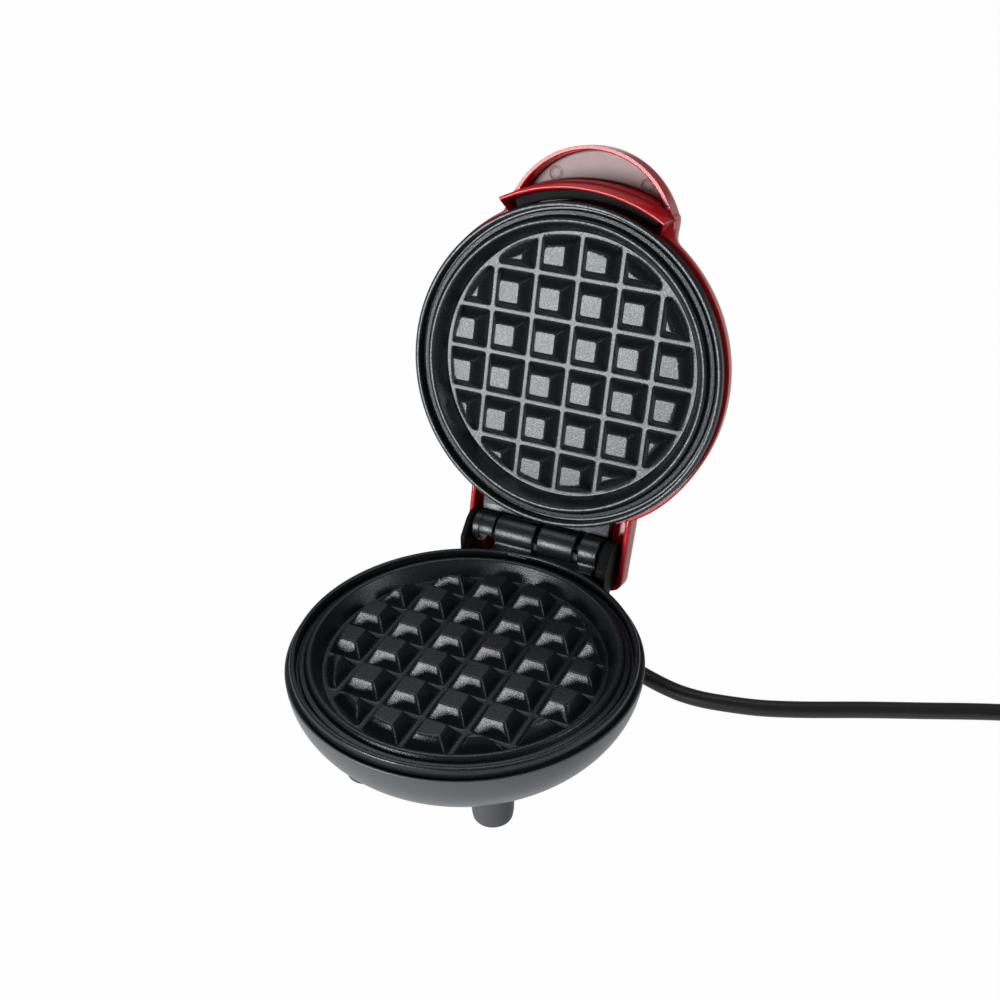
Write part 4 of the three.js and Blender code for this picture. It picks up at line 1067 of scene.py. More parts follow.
    def plug(self) -> Skin:
        """The moulded plug: rounded sections along Y that draw in to a ribbed neck on the lead.

        A section is a superellipse, whose cosine and sine are raised to a power that turns it from
        a soft rectangle into a circle along the neck.

        Returns:
            The surface.
        """
        x, y, z = self.plug_place
        width, length, height = self.plug_size
        along, wide, tall = np.array(self.plug_section_shares).T
        wide, tall = wide[:, None] * width / 2, tall[:, None] * height / 2
        angle = np.linspace(0.0, TAU, 72, endpoint=False)
        power = np.interp(along, *self.plug_powers)[:, None]
        cos, sin = np.cos(angle)[None], np.sin(angle)[None]
        points = np.empty((len(along), len(angle), 3))
        points[..., 0] = x + wide * np.sign(cos) * np.abs(cos) ** power
        points[..., 1] = y - length + along[:, None]
        points[..., 2] = z + self.plug_lift + tall * np.sign(sin) * np.abs(sin) ** power
        return capped_skin(points)

    def plug_blade(self, side: int) -> Skin:
        """One flat blade with a rounded tip and a hole: a washer-like outline with thickness.

        Each level is a ring of points about the hole, on the hole's rim or on the blade's outline,
        which is drawn in a little at both faces.

        Args:
            side: -1 for the left blade and 1 for the right one.

        Returns:
            The surface.
        """
        thick, length, tall = self.blade
        x = self.plug_place[0] + side * self.blade_spacing / 2
        front = self.plug_place[1] - self.plug_size[1]
        tip, root, half, steps = front - length, front + self.blade_root, tall / 2, 48
        turn = np.linspace(-math.pi, math.pi, steps, endpoint=False)
        hole_y, hole_z = tip + self.blade_hole_place, self.plug_place[2]
        outline = rounded_outline([(tip, -half, self.blade_corner), (root, -half, 0.1), (root, half, 0.1),
                                   (tip, half, self.blade_corner)], 12)
        bearing = np.arctan2(outline[:, 1], outline[:, 0] - hole_y)
        order = np.argsort(bearing)
        rim_y, rim_z = (np.interp(turn, bearing[order], outline[order, k], period=TAU) for k in (0, 1))
        ring_y = hole_y + self.blade_hole * np.cos(turn)
        ring_z = self.blade_hole * np.sin(turn)
        rows = []
        for level_share, rim_share in ((-0.5, 0), (-0.5, 0.92), (-0.34, 1.0), (0.34, 1.0), (0.5, 0.92),
                                       (0.5, 0)):
            row_y = hole_y + (rim_y - hole_y) * rim_share if rim_share else ring_y
            row_z = rim_z * rim_share if rim_share else ring_z
            rows.append(np.stack([np.full(steps, x + level_share * thick), row_y, hole_z + row_z], axis=-1))
        return grid_skin(np.array(rows), wrap_rows=True, wrap_columns=True)

    def relief(self) -> Skin:
        """The ribbed strain relief: a tapering profile with grooves, turned about the lead.

        Returns:
            The surface.
        """
        length, plug, face = self.relief_length, -self.relief_plug, self.clearance - self.relief_flange
        shape = [(0.0, plug, 0), (self.relief_plug_radius, plug, 0.2), (self.relief_plug_radius, face, 0.1),
                 (self.relief_flange_radius, face, 0.3), (self.relief_flange_radius, 0.05, 0.5),
                 (self.relief_root, 0.35, 0.3)]
        for place in np.linspace(self.rib_first, length - self.rib_last, self.rib_count):
            outer = self.rib_radius - self.rib_taper * place / length
            inner = outer - self.rib_depth
            shape += [(outer, place, 0.15), (inner, place + 0.35, 0.15), (inner, place + 1.15, 0.15),
                      (outer - 0.05, place + 1.5, 0.15)]
        shape += [(self.relief_tip, length, 0.5), (self.relief_bore, length, 0.1), (0.0, length, 0)]
        origin = np.array(self.relief_start) + self.way() * self.relief_flange
        return laid_along(lathe(profile(shape, 3), 48), origin, self.way())

    def build(self, shop: Workshop) -> None:
        """Args:
            shop: what makes the pieces.
        """
        path = self.centreline()
        lead = shop.piece("mains_cord", tube(path, self.radius), CORD, Body.BASE,
                          ("cord_stretch", "cord_coil", "cord_tail"), crease=80.0)
        extras = [
            shop.piece("coil_tie", self.tie(), BLACK, Body.BASE, ("cord_tie",)),
            shop.piece("mains_plug", self.plug(), CORD, Body.BASE, ("plug_body",), crease=50.0),
            shop.piece("mains_blade_left", self.plug_blade(-1), BRASS, Body.BASE, ("plug_blade_left",)),
            shop.piece("mains_blade_right", self.plug_blade(1), BRASS, Body.BASE, ("plug_blade_right",)),
            shop.piece("cord_relief", self.relief(), CORD, Body.BASE, ("strain_relief",)),
        ]
        placed = shop.datum.placed(path)


# Cooking plates


@dataclass
class CookingPlate:
    """One cast plate with its field of pyramids, its rings and its hinge arms.

    The cell's steps are places across half a cell, closer together where the pyramid bends. Spans
    run from left to right along the pin.
    """

    pitch: float = 16.0
    cell_count: int = 6
    field_radius: float = 47.0
    pyramid_half: float = 6.95
    pyramid_height: float = 5.36
    pyramid_run: float = 3.05
    ridge_round: float = 0.9
    field_round: float = 0.6
    foot_round: float = 0.7
    crown_round: float = 0.35
    cell_overrun: float = 4.0
    cell_steps: tuple[float, ...] = (0.0, 0.7, 1.4, 2.1, 2.7, 3.2, 3.55, 3.75, 3.92, 4.1, 4.45, 5.0, 5.5,
                                     6.0, 6.4, 6.7, 6.95, 7.2, 7.55)
    seam_radius: float = 48.3
    thickness: float = 3.0
    bead_foot: float = 48.8
    bead_inner: float = 51.9
    bead_outer: float = 53.5
    bead_top: float = 6.25
    land_inner: float = 54.45
    land_outer: float = 56.2
    land_top: float = 4.1
    groove_inner: float = 56.3
    groove_outer: float = 57.4
    groove_floor: float = 2.7
    rim_inner: float = 57.5
    rim_outer: float = 59.3
    rim_top: float = 6.4
    skirt_outer: float = 59.4
    skirt_low: float = 2.9
    seat_outer: float = 58.0
    seat_low: float = 1.4
    back_outer: float = 55.4
    back_inner: float = 51.0
    boss_length: float = 7.7
    boss_radius: float = 3.5
    boss_bore: float = 2.0
    boss_bore_depth: float = 5.3
    barrel_radius: float = 5.9
    bore: float = 2.4
    lower_spans: tuple[tuple[float, float], ...] = ((-17.8, -2.1), (16.0, 23.4))
    flange_top: float = 1.6
    flange_low: float = -1.4
    flange_left: float = -23.4
    flange_right: float = 24.2
    flange_front: float = 50.0
    flange_edge: float = 60.8
    lip_half: float = 22.0
    lip_reach: float = 2.8
    web_gap: float = 0.15
    web_front: float = 56.5
    web_heel: float = 63.0
    web_back: tuple[float, float] = (71.4, 5.6)
    web_neck: tuple[float, float] = (60.9, 7.6)
    web_step: tuple[float, float] = (60.2, 6.0)
    knuckle_span: tuple[float, float] = (-27.2, -24.0)
    barrel_span: tuple[float, float] = (-0.4, 14.0)
    lug_span: tuple[float, float] = (-24.2, -18.5)
    lug_back: float = 2.6
    hood_span: tuple[float, float] = (-27.2, 24.4)
    hood_root: float = 0.4
    hood_front: float = 46.0
    hood_step: float = 50.6
    hood_overhang: float = 2.0
    hood_top: float = 17.5
    hood_slope: tuple[float, float] = (52.4, 52.0)
    hollow_gap: float = 0.7
    hollow_bearings: tuple[float, float] = (157.8, 91.0)
    arm_front: float = 58.0
    arm_step: float = 60.6
    arm_neck: tuple[float, float] = (61.0, 0.2)
    arm_crown: tuple[float, float] = (-0.3, 5.75)

    def relief(self, x: Array, y: Array) -> Array:
        """Height of the cooking side: pyramids whose walls rise from the cell and field edges.

        The height is the slope times the distance to the nearest edge of the cell or of the round
        field, held between the floor and the pyramid's top with both creases rounded.

        Args:
            x: places along X.
            y: places along Y.

        Returns:
            Heights above the cooking floor.
        """
        half = self.pitch / 2
        in_x, in_y = np.mod(x, self.pitch) - half, np.mod(y, self.pitch) - half
        edge = soft_min(self.pyramid_half - np.abs(in_x), self.pyramid_half - np.abs(in_y),
                        self.ridge_round)
        edge = soft_min(edge, self.field_radius - np.hypot(x, y), self.field_round)
        off_field = np.hypot(x - in_x, y - in_y) > self.field_radius + self.cell_overrun
        edge = np.where(off_field, -1.0, edge)
        rise = self.pyramid_height / self.pyramid_run * edge
        rise = -soft_min(-rise, np.zeros_like(rise), self.foot_round)
        rise = soft_min(rise, np.full_like(rise, self.pyramid_height), self.crown_round)
        return rise - np.minimum(rise.min(), 0.0)

    def cooking_side(self) -> tuple[Skin, Array]:
        """The field as a fine grid whose edge is drawn out to a circle.

        Returns:
            The surface and the sorted bearings of its edge points.
        """
        step = np.array(self.cell_steps)
        cell = np.concatenate([-step[:0:-1], step])
        half = self.pitch / 2
        middles = (np.arange(self.cell_count) - (self.cell_count - 1) / 2) * self.pitch
        places = [(middles[:, None] + cell).ravel(), middles - half, middles + half]
        lines = np.unique(np.round(np.concatenate(places), 6))
        x, y = np.meshgrid(lines, lines)
        centre = (lines[:-1] + lines[1:]) / 2
        kept = np.hypot(*np.meshgrid(centre, centre)) < self.field_radius + 1.0
        around = np.pad(kept.astype(int), 1)
        count = around[:-1, :-1] + around[:-1, 1:] + around[1:, :-1] + around[1:, 1:]
        rim = (count > 0) & (count < 4)
        scale = np.where(rim, self.seam_radius / np.maximum(np.hypot(x, y), 1.0), 1.0)
        height = np.where(rim, 0.0, self.relief(x, y))
        quads = quads_between(np.arange(x.size).reshape(x.shape))[kept]
        used, renumbered = np.unique(quads, return_inverse=True)
        points = np.stack([x * scale, y * scale, height], axis=-1).reshape(-1, 3)[used]
        bearings = np.sort(np.arctan2(y[rim], x[rim]))
        return Skin(points, [renumbered.reshape(-1, 4)]), bearings

    def rings(self, bearings: Array) -> Skin:
        """Floor edge, bead, land, groove, rim and back, turned through the given bearings.

        Args:
            bearings: where the field's edge points lie.

        Returns:
            The surface.
        """
        shape = profile([
            (self.seam_radius, 0, 0), (self.bead_foot, 0, 0.45), (self.bead_inner, self.bead_top, 0.7),
            (self.bead_outer, self.bead_top, 0.65), (self.land_inner, self.land_top, 0.35),
            (self.land_outer, self.land_top, 0.3), (self.groove_inner, self.groove_floor, 0.3),
            (self.groove_outer, self.groove_floor, 0.35), (self.rim_inner, self.rim_top, 0.5),
            (self.rim_outer, self.rim_top, 0.8), (self.skirt_outer, self.skirt_low, 0.3),
            (self.seat_outer, self.skirt_low, 0.2), (self.seat_outer, self.seat_low, 0.2),
            (self.back_outer, self.seat_low, 0.4), (self.back_inner, -self.thickness, 1.2),
            (0, -self.thickness, 0)])
        return grid_skin(turned(shape, bearings), wrap_columns=True)

    def bosses(self) -> list[Skin]:
        """Four round bosses under the plate with screw bores: profiles turned about their lines.

        Returns:
            One surface a boss.
        """
        low, root = -self.thickness - self.boss_length, -self.thickness / 2
        bore_end = low + self.boss_bore_depth
        shape = profile([(self.boss_bore, bore_end, 0), (self.boss_bore, low, 0.1),
                         (self.boss_radius, low, 0.4), (self.boss_radius, root, 0), (0.0, root, 0)])
        shape = np.vstack([[[0.0, bore_end]], shape])
        spots = [(sx * SCREW_SPREAD, sy * SCREW_SPREAD, 0.0) for sx in (-1, 1) for sy in (-1, 1)]
        return [lathe(shape, 32).moved(spot) for spot in spots]

    def casting(self) -> list[Skin]:
        """The round casting with its cooking face up."""
        field_skin, bearings = self.cooking_side()
        return [joined([field_skin, self.rings(bearings)]), *self.bosses()]

    def web(self, outline: Array, span: tuple[float, float]) -> Skin:
        """A web that carries a barrel, a little narrower than it."""
        return slab(outline, span[0] + self.web_gap, span[1] - self.web_gap, 0.4, "yzx")

    def lower_hinge(self) -> list[Skin]:
        """Flange, webs, barrel and knuckle of the lower plate.

        Returns:
            Their surfaces.
        """
        left, right, front, edge = self.flange_left, self.flange_right, self.flange_front, self.flange_edge
        half, lip, low = self.lip_half, HINGE_Y + self.lip_reach, self.flange_low
        flange = rounded_outline([(left, front, 0.2), (right, front, 0.2), (right, edge, 1.2),
                                  (half, edge, 0.2), (half, lip, 1.6), (-half, lip, 1.6),
                                  (-half, edge, 0.2), (left, edge, 0.6)])
        outline = rounded_outline([(self.web_front, low + 0.4, 0.3), (self.web_heel, low + 0.2, 1.4),
                                   (*self.web_back, 0.6), (HINGE_Y, HINGE_Z, 0.2), (*self.web_neck, 0.9),
                                   (*self.web_step, 0.5), (self.web_front, self.web_step[1], 0.5)], 4)
        skins = [slab(flange, low, self.flange_top, 0.5)]
        for span in self.lower_spans:
            skins += [self.web(outline, span), axle(span, self.barrel_radius, self.bore)]
        return skins

    def lug(self) -> Skin:
        """The cut-open end of the upper left knuckle: what lies above or behind the pin, lid open.

        Its outline follows the barrel from below the pin's back round to the front, and comes back
        over the bore's upper half. It is turned closed here, as the rest of the lid is.

        Returns:
            The surface.
        """
        low = -math.acos(self.lug_back / self.barrel_radius)
        outer = np.linspace(low, math.pi, 40)
        inner = np.linspace(math.pi, 0.0, 20)
        angle = np.concatenate([outer, inner])
        reach = np.concatenate([np.full(len(outer), self.barrel_radius), np.full(len(inner), self.bore)])
        line = np.stack([reach * np.cos(angle), reach * np.sin(angle)], axis=-1)
        line = np.vstack([line, [[self.lug_back, 0.0]]])
        cos, sin = math.cos(OPEN_ANGLE), math.sin(OPEN_ANGLE)
        return slab(line @ np.array([[cos, sin], [-sin, cos]]) + [HINGE_Y, HINGE_Z], *self.lug_span, 0.3,
                    "yzx")

    def upper_hinge(self) -> list[Skin]:
        """Hood, webs, barrel, knuckle and lug of the upper plate, written closed.

        The hood's underside is hollowed round the barrels as an arc about the pin.

        Returns:
            Their surfaces.
        """
        face, back = PLATES_APART - self.flange_top, PLATES_APART - self.flange_low
        bend = np.radians(np.linspace(*self.hollow_bearings, 14))
        room = self.barrel_radius + self.hollow_gap
        hollow = np.stack([HINGE_Y + room * np.cos(bend), HINGE_Z + room * np.sin(bend)], axis=-1)
        root, end = PLATES_APART + self.hood_root, HINGE_Y + self.hood_overhang
        hood = np.vstack([[[self.hood_front, root], [self.hood_step, root], [self.hood_step, face]], hollow,
                          [[end, HINGE_Z + room], [end, self.hood_top], [self.hood_slope[0], self.hood_top],
                           [self.hood_slope[1], back], [self.hood_front, back]]])
        outline = rounded_outline([
            (self.arm_front, back - 0.1, 0.5), (self.arm_front, face, 0.2), (self.arm_step, face, 0.3),
            (self.arm_neck[0], HINGE_Z + self.arm_neck[1], 0.8), (HINGE_Y, HINGE_Z, 0.2),
            (HINGE_Y + self.arm_crown[0], HINGE_Z + self.arm_crown[1], 1.2)], 4)
        return [slab(hood, *self.hood_span, 0.4, "yzx"), self.lug(),
                axle(self.knuckle_span, self.barrel_radius, self.bore),
                axle(self.barrel_span, self.barrel_radius, self.bore),
                self.web(outline, self.barrel_span),
                self.web(outline, (self.knuckle_span[0], self.lug_span[1]))]

    def build(self, shop: Workshop) -> None:
        """Makes both plates; the upper one is the lower casting turned over.

        Args:
            shop: what makes the pieces.
        """
        casting = self.casting()
        over = [Skin(s.points * [1.0, -1.0, -1.0] + [0.0, 0.0, PLATES_APART], s.faces) for s in casting]
        shop.piece("lower_waffle_plate", joined(casting + self.lower_hinge()), COATING, Body.BASE,
                   ("lower_plate",), crease=44.0)
        shop.piece("upper_waffle_plate", joined(over + self.upper_hinge()), COATING, Body.LID,
                   ("upper_plate",), crease=44.0)
        for level in ("lower", "upper"):
            shop.dress(f"{level}_heating_element", ELEMENT)
            shop.dress(f"{level}_heat_shield", SHEET)


# Lid


@dataclass
class LidShell:
    """The glossy lid: a dome with a finger tab in front and two tails beside the hinge.

    Angles and bearings are measured off the tab's middle. The bend bearings, in degrees, lie close
    together where the outline bends: at the tab's corner, about the lip's end and at the notch.
    """

    dome_radius: float = 60.4
    dome_flare: float = 0.8
    flare_bearings: tuple[float, float] = (115.0, 142.0)
    dome_foot: float = 13.2
    dome_edge: float = 11.6
    dome_height: float = 23.4
    dome_power: float = 2.3
    wall: float = 2.2
    edge_top: float = 12.95
    edge_step: float = 0.15
    edge_wall: float = 1.1
    seat_outer: float = 58.3
    seat_inner: float = 56.6
    seat_low: float = 12.1
    seat_top: float = 13.8
    inner_foot: float = 58.7
    inner_tilt: float = math.radians(76.0)
    lip_radius: float = 65.0
    lip_wall: float = 1.4
    lip_crest: float = 6.8
    lip_fall: float = 0.3
    lip_angle: float = math.radians(28.65)
    slot_roof: float = 17.0
    slot_steps: tuple[float, ...] = (61.0, 60.0, 59.4, 58.5)
    tab_centre: float = 45.7
    tab_radius: float = 32.7
    tab_wall: float = 1.6
    tab_crest: float = 17.2
    tab_top: float = 29.2
    tab_power: float = 8.0
    tab_angle: float = math.radians(27.0)
    blend_angle: float = math.radians(36.0)
    flank_end: float = math.radians(34.5)
    recess_arc: float = 66.0
    recess_floor: float = 26.4
    meet_gap: float = 0.002
    tab_bends: tuple[float, ...] = (25.6, 26.4, 26.8, 27.0)
    lip_bends: tuple[float, ...] = (-0.9, -0.45, -0.15, 0.0, 0.12, 0.4, 1.0)
    flank_start: float = 30.2
    side_end: float = 149.5
    notch_bends: tuple[float, ...] = (150.1, 150.46, 150.56, 151.0, 151.8, 152.28, 152.38, 153.0, 154.2,
                                      155.2, 155.3, 156.0)
    back_start: float = 158.0
    notch_half: float = 29.6
    notch_roof: float = 15.6
    hood_span: tuple[float, float] = (-27.9, 25.1)
    hood_roof: float = 17.81
    outer_rows: int = 40
    inner_rows: int = 14
    tail_outer: float = 32.2
    tail_inner: float = 22.7
    tail_front: float = 35.0
    tail_back: float = 80.3
    tail_bend: float = 4.5
    tail_wall: float = 1.8
    tail_shoulder: float = 1.9
    tail_low: float = 10.7
    tail_roof: float = 22.4
    tail_roof_start: float = 44.0
    tail_roof_fall: float = 4.8 / 41.3
    tail_cut: tuple[float, float] = (74.6, 76.6)
    tail_dome_edge: tuple[float, float] = (60.5, 61.1)
    tail_leg_rows: int = 30
    tail_end_rows: int = 23

    def tab_reach(self, angle: Array, radius: float) -> Array:
        """Distance from the plate's middle to a circle about the tab's centre, along each bearing."""
        across = np.minimum(np.abs(self.tab_centre * np.sin(angle)), radius)
        return self.tab_centre * np.cos(angle) + np.sqrt(radius ** 2 - across ** 2)

    def recess_end(self, arc: float, radius: float) -> float:
        """Bearing at which an arc about the plate's middle meets a circle about the tab's centre."""
        return math.acos((arc ** 2 + self.tab_centre ** 2 - radius ** 2) / (2 * arc * self.tab_centre))

    def bearings(self) -> Array:
        """Bearings of the columns, closer together where the outline bends.

        Returns:
            Angles of all columns, from the tab's middle once round.
        """
        meet = self.recess_end(self.recess_arc, self.tab_radius - self.tab_wall)
        side_end = math.radians(self.side_end)
        half = np.concatenate([
            np.linspace(0.0, meet - self.meet_gap, 26), [meet, meet + self.meet_gap],
            np.radians(self.tab_bends), self.lip_angle + np.radians(self.lip_bends),
            np.linspace(math.radians(self.flank_start), self.blend_angle, 12),
            np.linspace(self.blend_angle, side_end, 50)[1:], np.radians(self.notch_bends),
            np.linspace(math.radians(self.back_start), math.pi, 14)])
        return np.concatenate([half, -half[-2:0:-1]])

    def outside(self, off: Array, dome: Array, reach: Array) -> Array:
        """The outer face of every column from the crown down to the tab's crest or the dome's foot.

        The dome is a superellipse of revolution. Near the tab it blends into a boxy superellipse
        whose reach is the tab's outline.

        Args:
            off: bearings without their sign, as (columns, 1).
            dome: the dome's radius at each column.
            reach: the tab's or flank's reach at each column.

        Returns:
            Positions as (columns, rows, 2), radius and height.
        """
        tilt = np.linspace(0.0, math.pi / 2, self.outer_rows)[None]
        dome_r = dome * np.sin(tilt) ** (2 / self.dome_power)
        dome_z = self.dome_foot + self.dome_height * np.maximum(np.cos(tilt), 0.0) ** (2 / self.dome_power)
        shoulder = math.acos(((self.tab_top - self.dome_foot) / self.dome_height) ** (self.dome_power / 2))
        shoulder_r = self.dome_radius * math.sin(shoulder) ** (2 / self.dome_power)
        turn = np.clip((tilt - shoulder) / (math.pi / 2 - shoulder), 0.0, 1.0) * math.pi / 2
        tab_r = shoulder_r + (reach - shoulder_r) * np.sin(turn) ** (2 / self.tab_power)
        tab_rise = np.maximum(np.cos(turn), 0.0) ** (2 / self.tab_power)
        tab_z = self.tab_crest + (self.tab_top - self.tab_crest) * tab_rise
        share = (1 - smoothstep(off, self.tab_angle, self.blend_angle)) * (tilt > shoulder)
        return np.stack([dome_r + (tab_r - dome_r) * share, dome_z + (tab_z - dome_z) * share], axis=-1)

    def columns(self, angle: Array) -> Array:
        """Profiles of the shell from the crown over the edge to the inner crown.

        Below its outer face each profile runs through the corners of the tab's rim, recess, lip and
        slot, which fall together into a plain edge elsewhere. Behind, the notch over the hinge and
        the room for the plate's hood lift whatever is lower than their roofs.

        Args:
            angle: bearings of the columns.

        Returns:
            Positions as (columns, points, 2), radius and height.
        """
        off = np.abs(angle)[:, None]
        hair, least_gap = 1e-6, 1e-4
        in_tab, in_lip = off < self.tab_angle + hair, off < self.lip_angle + hair
        flare = smoothstep(off, *(math.radians(b) for b in self.flare_bearings))
        dome = self.dome_radius + self.dome_flare * flare
        circle = self.tab_reach(np.minimum(off, self.tab_angle), self.tab_radius)
        reach = circle + (self.dome_radius - circle) * smoothstep(off, self.tab_angle, self.flank_end)
        outer = self.outside(off, dome, reach)

        inner_circle = self.tab_reach(off, self.tab_radius - self.tab_wall)
        inner_reach = np.maximum(inner_circle, self.recess_arc)
        open_recess = in_tab & (inner_circle > self.recess_arc + least_gap)
        lip, crest, roof = self.lip_radius, self.tab_crest, self.slot_roof
        deep = np.where(open_recess, self.recess_floor, crest)
        rim_r = np.where(in_lip, np.maximum(reach, lip), lip)
        rim_in = np.where(open_recess, inner_reach, np.minimum(self.recess_arc, rim_r))
        arc = np.minimum(self.recess_arc, rim_r)
        lip_in = lip - self.lip_wall

        def spot(radius: Any, height: Any, edge_radius: Any, edge_height: float) -> Array:
            """One corner of all columns: its place in the lip's sector, or else on the plain edge."""
            return np.concatenate([np.where(in_lip, radius, edge_radius),
                                   np.where(in_lip, height, edge_height)], axis=1)

        upper = [(rim_r, crest), (rim_in, crest), (rim_in, deep), (arc, deep), (arc, crest),
                 (lip, crest - self.lip_fall)]
        seat = [(self.seat_outer, self.seat_low), (self.seat_inner, self.seat_low),
                (self.seat_inner, self.seat_top), (self.inner_foot, self.seat_top)]
        corners = [outer[:, -1]]
        corners += [spot(*place, dome, self.edge_top - self.edge_step * k) for k, place in enumerate(upper)]
        corners += [spot(lip, self.lip_crest, dome, self.dome_edge),
                    spot(lip_in, self.lip_crest, dome - self.edge_wall, self.dome_edge),
                    spot(lip_in, roof, self.seat_outer, self.dome_edge)]
        corners += [spot(step, roof, *place) for step, place in zip(self.slot_steps, seat)]
        radii = [0, 0.1, 0.5, 0.9, 0.9, 0.5, 0.2, 0.55, 0.55, 0.4, 0.2, 0.2, 0.2, 0]
        edge_line = softened(np.stack(corners, axis=1), radii)

        tilt = np.linspace(self.inner_tilt, 0.0, self.inner_rows)
        inner_height = (self.dome_height - self.wall) * np.cos(tilt) ** (2 / self.dome_power)
        inner = np.stack([(self.dome_radius - self.wall) * np.sin(tilt) ** (2 / self.dome_power),
                          self.dome_foot + inner_height], -1)
        inner = np.broadcast_to(inner, (len(angle), *inner.shape))
        whole = np.concatenate([outer, edge_line[:, 1:], inner], axis=1)
        across = self.dome_radius * np.sin(angle)
        behind = np.abs(angle) > math.pi / 2
        for low, high, level in ((-self.notch_half, self.notch_half, self.notch_roof),
                                 (*self.hood_span, self.hood_roof)):
            inside = behind & (across > low) & (across < high)
            whole[inside, :, 1] = np.maximum(whole[inside, :, 1], level)
        return whole

    def dome(self) -> Skin:
        """The dome, tab, lip and edge as one closed surface of columns round the plate's middle.

        Each column's profile is carried to its bearing, where radius and height stay as they are.

        Returns:
            The surface.
        """
        angle = self.bearings()
        radius, height = np.moveaxis(self.columns(angle), -1, 0)
        across, front = np.sin(angle)[:, None], -np.cos(angle)[:, None]
        return grid_skin(np.stack([radius * across, radius * front, height], axis=-1), wrap_rows=True)

    def tail(self) -> Skin:
        """The right tail: a hood over the hinge's side, open below.

        A U-shaped plan runs down the outer side, round the end and up the inner side. At each of its
        points a section climbs the wall, turns over a rounded shoulder to the hood's spine and comes
        back inside it. The roof falls evenly to the end. Next to the dome and at the inner side's end
        the wall is cut away almost up to the shoulder.

        Returns:
            The surface.
        """
        outer, inner, bend, shoulder = self.tail_outer, self.tail_inner, self.tail_bend, self.tail_shoulder
        thick, legs, end = self.tail_wall, self.tail_leg_rows, self.tail_back - self.tail_bend
        spine, half = (outer + inner) / 2, (outer - inner) / 2
        straight = np.linspace(self.tail_front, end, legs)
        turn = np.linspace(0.0, math.pi, self.tail_end_rows + 2)[1:-1]
        x = np.concatenate([np.full(legs, outer), spine + half * np.cos(turn), np.full(legs, inner)])
        y = np.concatenate([straight, end + bend * np.sin(turn), straight[::-1]])
        to_x, to_y = spine - x, np.minimum(y, end) - y
        full = np.hypot(to_x, to_y)
        roof = self.tail_roof - self.tail_roof_fall * (y - self.tail_roof_start)
        on_inner = np.arange(len(x)) >= legs + self.tail_end_rows
        cut = np.where(on_inner, 1 - smoothstep(y, *self.tail_cut), 0.0)
        near_dome = 1 - smoothstep(np.hypot(x, y), *self.tail_dome_edge)
        low = self.tail_low + (roof - shoulder - 1.0 - self.tail_low) * np.maximum(cut, near_dome)
        flat = np.zeros_like(full)
        wall_low, wall_high, inside = low + 0.5, roof - shoulder, roof - thick
        rows = [(full, roof)]
        rows += [(flat + shoulder * (1 - np.sin(a)), roof - shoulder * (1 - np.cos(a)))
                 for a in np.linspace(0.0, math.pi / 2, 6)]
        rows += [(flat, wall_high + (wall_low - wall_high) * s) for s in (0.35, 0.7, 1.0)]
        rows += [(flat + 0.18, low + 0.12), (flat + 0.5, low), (flat + thick - 0.4, low),
                 (flat + thick, low + 0.3), (flat + thick, low + (inside - 0.8 - low) * 0.6),
                 (flat + thick, inside - 0.8), (flat + thick + 0.8, inside), (full, inside)]
        points = [np.stack([x + to_x / full * d, y + to_y / full * d, z], axis=-1) for d, z in rows]
        return grid_skin(np.array(points))

    def build(self, shop: Workshop) -> None:
        """Makes the shell."""
        tail = self.tail()
        shop.piece("lid_cover", joined([self.dome(), tail, tail.mirrored()]), RED, Body.LID,
                   ("lid_shell",), crease=40.0)


